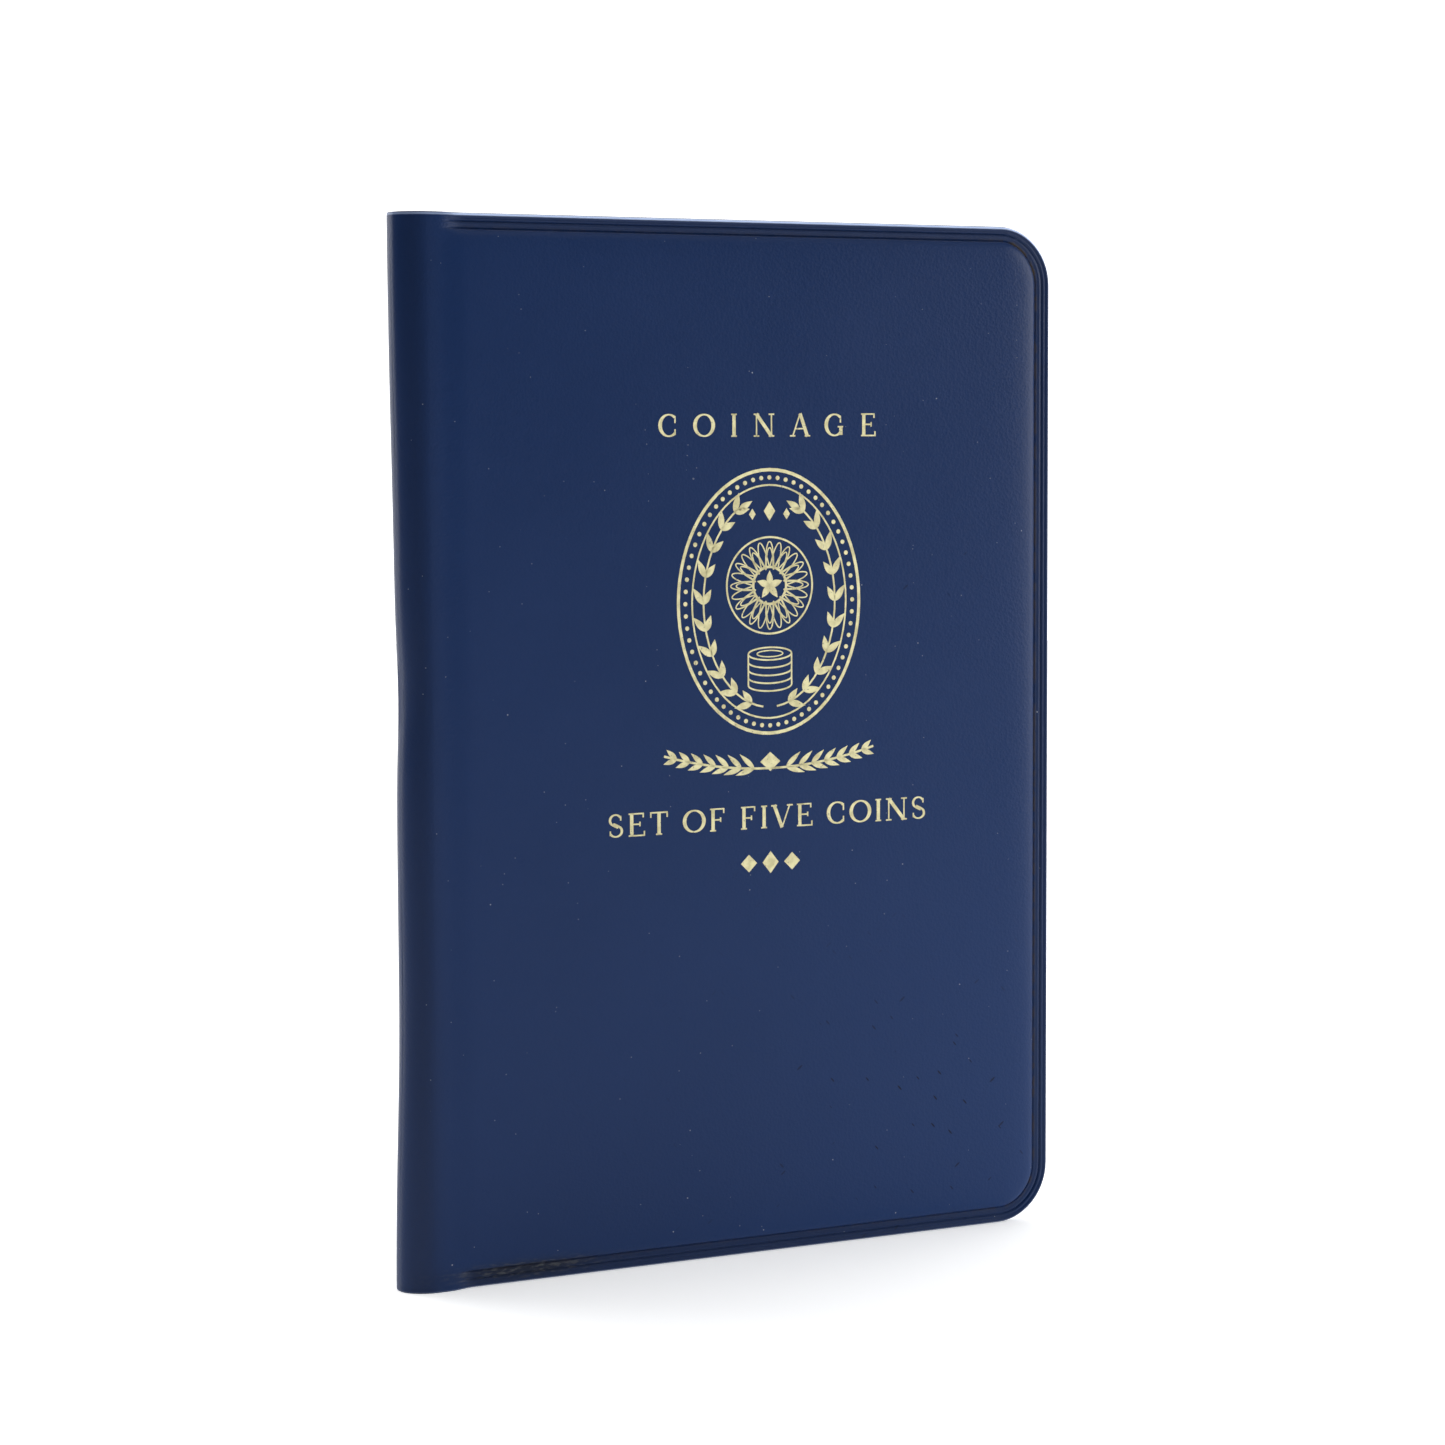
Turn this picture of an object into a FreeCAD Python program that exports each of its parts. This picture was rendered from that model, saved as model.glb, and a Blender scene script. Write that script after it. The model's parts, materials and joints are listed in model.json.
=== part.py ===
import FreeCAD, Part
import math
import os

# Coin album: a vinyl wallet of two padded covers and a soft spine, holding one
# turning leaf of five coins and a slip-in card. Millimetres, +Z up.
# The album is laid out closed (spine at -X, free edges at +X, front cover
# facing -Y, standing on z = 0), and each moving group is then turned about its
# own fold by its resting angle, so that the album stands a little open.

# ---- driving dimensions ------------------------------------------------------
ALBUM_WIDTH = 96.8            # closed, spine to free edge
ALBUM_HEIGHT = 140.0
CORNER_RADIUS = 8.0           # outer corners at the free edge
SPINE_RADIUS = 3.2            # outside of each rounded spine fold

SKIN_THICKNESS = 0.4          # outer vinyl sheet
PADDING_THICKNESS = 0.3
BOARD_THICKNESS = 0.7
LINING_THICKNESS = 0.2

WELD_WIDTH = 2.4              # flattened seam along three edges of a cover
WELD_RECESS = 0.5             # seam's face below the cover's padded face
WELD_START = 7.0              # seam and lining begin this far from the spine
BOARD_START = 8.0             # boards begin this far from the spine
BOARD_PLAY = 0.2              # a board in its sleeve, all round

POCKET_FILM = 0.2
POCKET_SEAM = 1.5             # width of the pocket's welded edges
POCKET_START = 13.0           # pocket's near edge, from the spine
POCKET_MARGIN = 5.5           # pocket to the cover's free edge
POCKET_FOOT = 4.0             # pocket's lower edge above the cover's foot
POCKET_DROP = 32.0            # pocket's mouth below the cover's head
CARD_THICKNESS = 0.3
CARD_DROP = 16.0              # card's head below the cover's head
CARD_PLAY = 0.1               # card to the film and to the lining
CARD_SIDE_PLAY = 0.5          # card to the pocket's seams

PAGE_CLEARANCE = 0.3          # leaf to the cover or pocket on each side
WINDOW_FILM = 0.25
MOUNT_THICKNESS = 2.0         # card that holds the coins
LEAF_START = 10.0             # windows begin this far from the spine
LEAF_MARGIN = 3.5             # leaf to the covers' free, upper and lower edges
LEAF_CORNER = 5.0
LEAF_SEAM = 2.0               # welded edge round the windows
GUARD_THICKNESS = 0.5         # strip that hinges the leaf to the spine
HINGE_CLEARANCE = 0.3         # between moving pieces at a fold
LEAF_AXIS_DEPTH = 1.5         # leaf's turning line, inside the spine's vinyl

COIN_THICKNESS = 1.8
COIN_RIM_WIDTH = 0.9
COIN_RIM_HEIGHT = 0.12        # rim above the coin's field, each face
COIN_PLAY = 0.3               # coin to its hole in the mount, on the radius
# rows of coins from the top: (name, diameter) of each, the largest first
COIN_ROWS = [
    [("coin_fifty", 30.5)],
    [("coin_twenty_five", 24.3), ("coin_ten", 17.9)],
    [("coin_five", 21.2), ("coin_one", 19.0)],
]

FOIL_THICKNESS = 0.05         # stamped foil on the front cover
FOIL_LINE = 1.2               # width of the medallion's line
FOIL_OFFSET_X = 3.6           # stamping's centre line from the cover's middle
MEDALLION_HEIGHT = 36.0
MEDALLION_WIDTH = 28.0
MEDALLION_OFFSET_Z = 19.0     # medallion's middle above the cover's middle
# (length, height, height of its middle above the cover's middle) of each bar
FOIL_BARS = [(33.2, 3.1, 42.7), (32.0, 5.6, -2.3), (48.9, 3.1, -10.1), (9.7, 2.9, -16.3)]

COVER_REST_DEG = 6.0          # each cover's resting angle from closed
LEAF_FOLLOWS = 0.5            # leaf's turn for one turn of the front cover

# ---- sizes that follow -------------------------------------------------------
COVER_THICKNESS = SKIN_THICKNESS + PADDING_THICKNESS + BOARD_THICKNESS + LINING_THICKNESS
POCKET_GAP = CARD_THICKNESS + 2 * CARD_PLAY
POCKET_DEPTH = POCKET_GAP + POCKET_FILM
LEAF_THICKNESS = MOUNT_THICKNESS + 2 * WINDOW_FILM
ALBUM_THICKNESS = 2 * COVER_THICKNESS + POCKET_DEPTH + LEAF_THICKNESS + 2 * PAGE_CLEARANCE

SPINE_X = -ALBUM_WIDTH / 2
FREE_X = ALBUM_WIDTH / 2
FRONT_Y = -ALBUM_THICKNESS / 2
LEAF_Y = FRONT_Y + COVER_THICKNESS + POCKET_DEPTH + PAGE_CLEARANCE + LEAF_THICKNESS / 2

FOLD_INSET = SPINE_RADIUS * (1 - math.cos(math.radians(45)))
FRONT_FOLD = (SPINE_X + FOLD_INSET, FRONT_Y + FOLD_INSET)
BACK_FOLD = (SPINE_X + FOLD_INSET, -FRONT_Y - FOLD_INSET)
LEAF_FOLD = (SPINE_X + SKIN_THICKNESS + LEAF_AXIS_DEPTH, LEAF_Y)

REST = math.radians(COVER_REST_DEG)
FREE_REACH = (FREE_X - FRONT_FOLD[0]) * math.cos(REST)
FREE_LEAN = (COVER_THICKNESS - FOLD_INSET) * math.sin(REST)
CENTRING_X = -(SPINE_X + FRONT_FOLD[0] + FREE_REACH + FREE_LEAN) / 2

UP = FreeCAD.Vector(0, 0, 1)


# ---- helpers -----------------------------------------------------------------
def plate(x_low, x_high, z_low, z_high, y_low, thickness, radius=0.0):
    """Upright plate whose two corners at high X are rounded."""
    def at(x, z):
        return FreeCAD.Vector(x, y_low, z)

    if radius <= 0:
        outline = Part.makePolygon([at(x_low, z_low), at(x_high, z_low), at(x_high, z_high),
                                    at(x_low, z_high), at(x_low, z_low)])
        return Part.Face(outline).extrude(FreeCAD.Vector(0, thickness, 0))
    bulge = radius * math.sin(math.radians(45))
    low_centre = (x_high - radius, z_low + radius)
    high_centre = (x_high - radius, z_high - radius)
    edges = [
        Part.makeLine(at(x_low, z_low), at(low_centre[0], z_low)),
        Part.Arc(at(low_centre[0], z_low), at(low_centre[0] + bulge, low_centre[1] - bulge),
                 at(x_high, low_centre[1])).toShape(),
        Part.makeLine(at(x_high, low_centre[1]), at(x_high, high_centre[1])),
        Part.Arc(at(x_high, high_centre[1]), at(high_centre[0] + bulge, high_centre[1] + bulge),
                 at(high_centre[0], z_high)).toShape(),
        Part.makeLine(at(high_centre[0], z_high), at(x_low, z_high)),
        Part.makeLine(at(x_low, z_high), at(x_low, z_low)),
    ]
    return Part.Face(Part.Wire(edges)).extrude(FreeCAD.Vector(0, thickness, 0))


def cover_plate(start, inset, depth, thickness):
    """Plate of a cover's outline, drawn in by inset on the three welded edges."""
    return plate(SPINE_X + start, FREE_X - inset, inset, ALBUM_HEIGHT - inset,
                 FRONT_Y + depth, thickness, CORNER_RADIUS - inset)


def fold_arc(from_deg, to_deg):
    """Stretch of the front spine fold: skin bent round the fold's centre line."""
    centre = (SPINE_X + SPINE_RADIUS, FRONT_Y + SPINE_RADIUS)

    def at(radius, degrees):
        turn = math.radians(degrees)
        return FreeCAD.Vector(centre[0] + radius * math.cos(turn),
                              centre[1] + radius * math.sin(turn), 0)

    inner = SPINE_RADIUS - SKIN_THICKNESS
    middle = (from_deg + to_deg) / 2
    edges = [
        Part.Arc(at(SPINE_RADIUS, from_deg), at(SPINE_RADIUS, middle), at(SPINE_RADIUS, to_deg)).toShape(),
        Part.makeLine(at(SPINE_RADIUS, to_deg), at(inner, to_deg)),
        Part.Arc(at(inner, to_deg), at(inner, middle), at(inner, from_deg)).toShape(),
        Part.makeLine(at(inner, from_deg), at(SPINE_RADIUS, from_deg)),
    ]
    return Part.Face(Part.Wire(edges)).extrude(UP * ALBUM_HEIGHT)


def mirrored(shape):
    """The same piece on the back cover's side."""
    return shape.mirror(FreeCAD.Vector(0, 0, 0), FreeCAD.Vector(0, 1, 0))


def joined(shapes):
    """One clean solid from touching or overlapping ones."""
    return shapes[0].fuse(shapes[1:]).removeSplitter()


# ---- covers and spine --------------------------------------------------------
GAP_DEG = math.degrees(HINGE_CLEARANCE / 2 / (SPINE_RADIUS - SKIN_THICKNESS))
SLEEVE_INSET = WELD_WIDTH + SKIN_THICKNESS
BOARD_INSET = SLEEVE_INSET + BOARD_PLAY
CORE_DEPTH = COVER_THICKNESS - LINING_THICKNESS


def cover_skin():
    """Outer vinyl of a cover: fold, sheet over the padding and welded seam."""
    fold = fold_arc(225 + GAP_DEG, 270)
    near_strip = plate(SPINE_X + SPINE_RADIUS, SPINE_X + WELD_START, 0, ALBUM_HEIGHT,
                       FRONT_Y, SKIN_THICKNESS)
    padded = cover_plate(WELD_START, WELD_WIDTH, 0, CORE_DEPTH)
    seam = cover_plate(WELD_START, 0, WELD_RECESS, CORE_DEPTH - WELD_RECESS)
    sleeve = cover_plate(WELD_START, SLEEVE_INSET, SKIN_THICKNESS, CORE_DEPTH)
    return joined([fold, near_strip, padded, seam]).cut(sleeve)


def cover_padding():
    """Thin foam sheet under a cover's skin."""
    return cover_plate(BOARD_START, BOARD_INSET, SKIN_THICKNESS, PADDING_THICKNESS)


def cover_board():
    """Stiffening board of a cover."""
    return cover_plate(BOARD_START, BOARD_INSET, SKIN_THICKNESS + PADDING_THICKNESS,
                       BOARD_THICKNESS)


def cover_lining():
    """Inner sheet of a cover, welded to its skin along three edges."""
    return cover_plate(WELD_START, 0, CORE_DEPTH, LINING_THICKNESS)


def spine_strip():
    """Spine vinyl between the two fold lines."""
    front = fold_arc(180, 225 - GAP_DEG)
    flat = Part.makeBox(SKIN_THICKNESS, ALBUM_THICKNESS - 2 * SPINE_RADIUS, ALBUM_HEIGHT,
                        FreeCAD.Vector(SPINE_X, FRONT_Y + SPINE_RADIUS, 0))
    return joined([front, flat, mirrored(front)])


# ---- pocket and card ---------------------------------------------------------
POCKET_LOW_X = SPINE_X + POCKET_START
POCKET_HIGH_X = FREE_X - POCKET_MARGIN
POCKET_Y = FRONT_Y + COVER_THICKNESS
POCKET_MOUTH_Z = ALBUM_HEIGHT - POCKET_DROP


def front_pocket():
    """Clear pocket welded inside the front cover on three edges, open at the top."""
    outer = plate(POCKET_LOW_X, POCKET_HIGH_X, POCKET_FOOT, POCKET_MOUTH_Z,
                  POCKET_Y, POCKET_DEPTH)
    hollow = plate(POCKET_LOW_X + POCKET_SEAM, POCKET_HIGH_X - POCKET_SEAM,
                   POCKET_FOOT + POCKET_SEAM, ALBUM_HEIGHT, POCKET_Y, POCKET_GAP)
    return outer.cut(hollow)


def slip_card():
    """Loose card that stands in the pocket and draws out at the top."""
    side = POCKET_SEAM + CARD_SIDE_PLAY
    foot = POCKET_FOOT + POCKET_SEAM + CARD_PLAY
    return plate(POCKET_LOW_X + side, POCKET_HIGH_X - side, foot, ALBUM_HEIGHT - CARD_DROP,
                 POCKET_Y + CARD_PLAY, CARD_THICKNESS)


# ---- coin leaf ---------------------------------------------------------------
LEAF_LOW_X = SPINE_X + LEAF_START
LEAF_HIGH_X = FREE_X - LEAF_MARGIN
LEAF_LOW_Z = LEAF_MARGIN
LEAF_HIGH_Z = ALBUM_HEIGHT - LEAF_MARGIN
MOUNT_LOW_X = LEAF_LOW_X + LEAF_SEAM
MOUNT_WIDTH = LEAF_HIGH_X - LEAF_SEAM - MOUNT_LOW_X
MOUNT_HIGH_Z = LEAF_HIGH_Z - LEAF_SEAM
MOUNT_HEIGHT = MOUNT_HIGH_Z - LEAF_LOW_Z - LEAF_SEAM


def leaf_plate(inset, y_low, thickness):
    """Plate of the leaf's outline, drawn in by inset all round."""
    return plate(LEAF_LOW_X + inset, LEAF_HIGH_X - inset, LEAF_LOW_Z + inset,
                 LEAF_HIGH_Z - inset, y_low, thickness, LEAF_CORNER - inset)


def leaf_guard():
    """Vinyl strip that joins the leaf to the spine and runs into its seam."""
    near = SPINE_X + SKIN_THICKNESS + HINGE_CLEARANCE
    return plate(near, LEAF_LOW_X + LEAF_SEAM, LEAF_LOW_Z, LEAF_HIGH_Z,
                 LEAF_Y - GUARD_THICKNESS / 2, GUARD_THICKNESS)


def leaf_window(guard):
    """Front clear window: film with a welded seam down to the leaf's middle."""
    half = LEAF_THICKNESS / 2
    body = leaf_plate(0, LEAF_Y - half, half)
    hollow = leaf_plate(LEAF_SEAM, LEAF_Y - half + WINDOW_FILM, half)
    return body.cut(hollow).cut(guard)


def coin_positions():
    """Name, radius and centre of each coin: rows an even gap apart, coins spread evenly."""
    row_gap = (MOUNT_HEIGHT - sum(row[0][1] for row in COIN_ROWS)) / (len(COIN_ROWS) + 1)
    positions = []
    top = MOUNT_HIGH_Z - row_gap
    for row in COIN_ROWS:
        middle_z = top - row[0][1] / 2
        for place, (name, diameter) in enumerate(row):
            middle_x = MOUNT_LOW_X + MOUNT_WIDTH * (2 * place + 1) / (2 * len(row))
            positions.append((name, diameter / 2, middle_x, middle_z))
        top -= row[0][1] + row_gap
    return positions


def coin_mount():
    """Card with a round hole for each coin, between the windows."""
    card = leaf_plate(LEAF_SEAM, LEAF_Y - MOUNT_THICKNESS / 2, MOUNT_THICKNESS)
    for _, radius, x, z in coin_positions():
        hole = Part.makeCylinder(radius + COIN_PLAY, MOUNT_THICKNESS,
                                 FreeCAD.Vector(x, LEAF_Y - MOUNT_THICKNESS / 2, z),
                                 FreeCAD.Vector(0, 1, 0))
        card = card.cut(hole)
    return card


def coin(radius, x, z):
    """Round coin with a raised rim on both faces."""
    def disc(disc_radius, thickness, y_low):
        return Part.makeCylinder(disc_radius, thickness, FreeCAD.Vector(x, y_low, z),
                                 FreeCAD.Vector(0, 1, 0))

    near_y = LEAF_Y - COIN_THICKNESS / 2
    far_y = LEAF_Y + COIN_THICKNESS / 2
    blank = disc(radius, COIN_THICKNESS, near_y)
    field = radius - COIN_RIM_WIDTH
    near_field = disc(field, COIN_RIM_HEIGHT, near_y)
    far_field = disc(field, COIN_RIM_HEIGHT, far_y - COIN_RIM_HEIGHT)
    return blank.cut(near_field).cut(far_field)


# ---- stamping ----------------------------------------------------------------
def cover_foil():
    """Stamped foil: an oval medallion's line and the plain bars above and below it."""
    middle_x = (SPINE_X + FREE_X) / 2 + FOIL_OFFSET_X
    middle_z = ALBUM_HEIGHT / 2
    centre = FreeCAD.Vector(middle_x, FRONT_Y - FOIL_THICKNESS, middle_z + MEDALLION_OFFSET_Z)

    def oval(height, width):
        tall = centre + UP * (height / 2)
        wide = centre + FreeCAD.Vector(width / 2, 0, 0)
        edge = Part.Ellipse(tall, wide, centre).toShape()
        return Part.Face(Part.Wire([edge])).extrude(FreeCAD.Vector(0, FOIL_THICKNESS, 0))

    inner = oval(MEDALLION_HEIGHT - 2 * FOIL_LINE, MEDALLION_WIDTH - 2 * FOIL_LINE)
    pieces = [oval(MEDALLION_HEIGHT, MEDALLION_WIDTH).cut(inner)]
    for length, height, offset_z in FOIL_BARS:
        corner = FreeCAD.Vector(middle_x - length / 2, FRONT_Y - FOIL_THICKNESS,
                                middle_z + offset_z - height / 2)
        pieces.append(Part.makeBox(length, FOIL_THICKNESS, height, corner))
    return Part.makeCompound(pieces)


# ---- assembly ----------------------------------------------------------------
def placed(shape, fold, degrees):
    """Turn a closed-album piece about its fold, then centre the album on the origin."""
    moved = shape.copy()
    moved.rotate(FreeCAD.Vector(fold[0], fold[1], 0), UP, degrees)
    moved.translate(FreeCAD.Vector(CENTRING_X, 0, 0))
    return moved


guard = leaf_guard()
window = leaf_window(guard)
back_window = window.mirror(FreeCAD.Vector(0, LEAF_Y, 0), FreeCAD.Vector(0, 1, 0))

FRONT_NODES = {
    "front_cover_skin": cover_skin(),
    "front_padding": cover_padding(),
    "front_board": cover_board(),
    "front_lining": cover_lining(),
    "front_pocket": front_pocket(),
    "slip_card": slip_card(),
    "cover_foil": cover_foil(),
}
BACK_NODES = {
    "back_cover_skin": mirrored(cover_skin()),
    "back_padding": mirrored(cover_padding()),
    "back_board": mirrored(cover_board()),
    "back_lining": mirrored(cover_lining()),
}
LEAF_NODES = {
    "leaf_guard": guard,
    "leaf_front_window": window,
    "leaf_back_window": back_window,
    "coin_mount": coin_mount(),
}
for coin_name, coin_radius, coin_x, coin_z in coin_positions():
    LEAF_NODES[coin_name] = coin(coin_radius, coin_x, coin_z)
SPINE_NODES = {"spine_strip": spine_strip()}

os.makedirs("parts", exist_ok=True)
for nodes, fold, degrees in (
    (FRONT_NODES, FRONT_FOLD, -COVER_REST_DEG),
    (BACK_NODES, BACK_FOLD, COVER_REST_DEG),
    (LEAF_NODES, LEAF_FOLD, -COVER_REST_DEG * LEAF_FOLLOWS),
    (SPINE_NODES, LEAF_FOLD, 0),
):
    print("fold at x %.3f y %.3f" % (fold[0] + CENTRING_X, fold[1]))
    for node, shape in nodes.items():
        placed(shape, fold, degrees).exportStep("parts/%s.step" % node)
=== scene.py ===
"""Coin album: welded vinyl covers round a turning leaf of five coins, standing a little open."""

import json
import logging
import math
from dataclasses import dataclass, field
from enum import Enum
from typing import Any, Callable, Iterable, Optional, Sequence

import bmesh
import bpy
from mathutils import Matrix, Vector, noise
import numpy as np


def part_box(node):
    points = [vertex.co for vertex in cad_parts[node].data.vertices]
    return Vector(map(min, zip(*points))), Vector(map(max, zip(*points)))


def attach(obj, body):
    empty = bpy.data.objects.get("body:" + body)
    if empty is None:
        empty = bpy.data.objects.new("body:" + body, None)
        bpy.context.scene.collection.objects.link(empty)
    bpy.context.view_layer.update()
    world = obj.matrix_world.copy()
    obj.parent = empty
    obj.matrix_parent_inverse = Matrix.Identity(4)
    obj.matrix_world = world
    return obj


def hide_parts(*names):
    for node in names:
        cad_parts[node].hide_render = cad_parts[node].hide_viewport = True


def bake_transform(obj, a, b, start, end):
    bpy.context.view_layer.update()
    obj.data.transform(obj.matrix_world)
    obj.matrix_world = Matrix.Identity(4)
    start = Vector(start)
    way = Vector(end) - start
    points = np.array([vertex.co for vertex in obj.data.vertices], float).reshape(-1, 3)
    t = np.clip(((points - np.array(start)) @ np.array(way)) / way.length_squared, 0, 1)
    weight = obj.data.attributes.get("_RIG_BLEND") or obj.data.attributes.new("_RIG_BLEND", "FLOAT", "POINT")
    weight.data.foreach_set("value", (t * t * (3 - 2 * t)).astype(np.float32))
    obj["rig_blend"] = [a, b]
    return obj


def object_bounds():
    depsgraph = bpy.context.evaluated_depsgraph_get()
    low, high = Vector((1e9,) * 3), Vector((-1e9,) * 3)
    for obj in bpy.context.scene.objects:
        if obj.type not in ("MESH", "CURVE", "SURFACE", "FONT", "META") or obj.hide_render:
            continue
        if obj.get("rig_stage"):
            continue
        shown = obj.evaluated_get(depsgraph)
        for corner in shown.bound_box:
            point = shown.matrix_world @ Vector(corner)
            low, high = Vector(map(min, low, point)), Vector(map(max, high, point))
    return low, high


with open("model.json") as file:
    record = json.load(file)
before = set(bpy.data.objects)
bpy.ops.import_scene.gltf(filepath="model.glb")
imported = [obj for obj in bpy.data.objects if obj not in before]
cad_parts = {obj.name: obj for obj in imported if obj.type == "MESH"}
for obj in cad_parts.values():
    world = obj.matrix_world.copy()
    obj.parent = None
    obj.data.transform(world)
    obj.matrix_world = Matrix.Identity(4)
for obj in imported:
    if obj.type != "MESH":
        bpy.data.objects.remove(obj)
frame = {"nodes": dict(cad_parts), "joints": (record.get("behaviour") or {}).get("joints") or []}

log = logging.getLogger("coin_album")

MM = 0.001
Point = tuple[float, float]
Place = Callable[[float, float, float], Vector]


# ---- small sums ---------------------------------------------------------------
def smooth(low: float, high: float, value: float) -> float:
    """Ease from 0 at low to 1 at high."""
    share = min(1.0, max(0.0, (value - low) / (high - low)))
    return share * share * (3 - 2 * share)


def bump(value: float, middle: float, width: float) -> float:
    """Bell of height 1 at middle."""
    return math.exp(-((value - middle) / width) ** 2)


def mixed(low: float, high: float, share: float) -> float:
    """Value that is low at share 0 and high at share 1."""
    return low + (high - low) * share


def spread(low: float, high: float, count: int) -> list[float]:
    """Count + 1 even values from low to high."""
    return [mixed(low, high, step / count) for step in range(count + 1)]


def merged(*lists: Iterable[float]) -> list[float]:
    """Sorted values of several lists, without near repeats.

    Args:
        lists: the lists of values.

    Returns:
        The sorted values.
    """
    values: list[float] = []
    for value in sorted(v for values_in in lists for v in values_in):
        if not values or value - values[-1] > 1e-7:
            values.append(value)
    return values


def ripple(x: float, z: float, size: float, seed: float) -> float:
    """Soft waviness between about -1 and 1, with waves of the given size in metres."""
    return noise.noise(Vector((x / size, z / size, seed)))


# ---- the frame's folds and boxes -----------------------------------------------
class Side(Enum):
    """Which cover a piece belongs to; the value is the sign of its outward Y."""

    FRONT = -1
    BACK = 1

    @property
    def word(self) -> str:
        """Name used in nodes and bodies."""
        return self.name.lower()


@dataclass(frozen=True)
class Fold:
    """A fold beside the spine, and the turn that takes the closed album to its rest pose."""

    x: float
    y: float
    turn: float

    @classmethod
    def of(cls, joint: str) -> "Fold":
        """Read the fold from the frame's joint of that name.

        Args:
            joint: the joint's name.

        Returns:
            The fold.
        """
        row = next(j for j in frame["joints"] if j["name"] == joint)
        closed = math.radians(row["range_deg"][0])
        return cls(row["pos_m"][0], row["pos_m"][1], -closed * row["axis"][2])

    def turned(self, point: Vector, angle: float) -> Vector:
        """Point after a turn about the fold.

        Args:
            point: the point.
            angle: turn in radians.

        Returns:
            The turned point.
        """
        dx, dy = point.x - self.x, point.y - self.y
        cos, sin = math.cos(angle), math.sin(angle)
        return Vector((self.x + dx * cos - dy * sin, self.y + dx * sin + dy * cos, point.z))

    def opened(self, point: Vector, share: float = 1.0) -> Vector:
        """Point of the closed album, moved to the rest pose."""
        return self.turned(point, self.turn * share)

    def closed_box(self, node: str) -> tuple[Vector, Vector]:
        """Lowest and highest corner of a CAD node, laid back into the closed album.

        Args:
            node: the CAD node's name.

        Returns:
            The two corners.
        """
        points = [self.turned(v.co, -self.turn) for v in frame["nodes"][node].data.vertices]
        low = Vector([min(p[axis] for p in points) for axis in range(3)])
        high = Vector([max(p[axis] for p in points) for axis in range(3)])
        return low, high


# ---- meshes --------------------------------------------------------------------
def mesh_object(name: str, points: Sequence[Vector], faces: Sequence[Sequence[int]],
                marks: Optional[dict[str, Sequence[float]]] = None,
                sharp_deg: float = 40.0) -> bpy.types.Object:
    """Make a smooth-shaded object from points and faces.

    Args:
        name: the object's name.
        points: vertices in metres, in the row frame.
        faces: vertex indices of each face.
        marks: float attributes by name, one value for each vertex.
        sharp_deg: edges that bend more than this stay sharp.

    Returns:
        The linked object.
    """
    mesh = bpy.data.meshes.new(name)
    mesh.from_pydata([tuple(p) for p in points], [], [tuple(f) for f in faces])
    for mark, values in (marks or {}).items():
        mesh.attributes.new(mark, "FLOAT", "POINT").data.foreach_set("value", list(values))
    mesh.validate()
    mesh.shade_smooth()
    mesh.set_sharp_from_angle(angle=math.radians(sharp_deg))
    piece = bpy.data.objects.new(name, mesh)
    bpy.context.scene.collection.objects.link(piece)
    return piece


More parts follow.
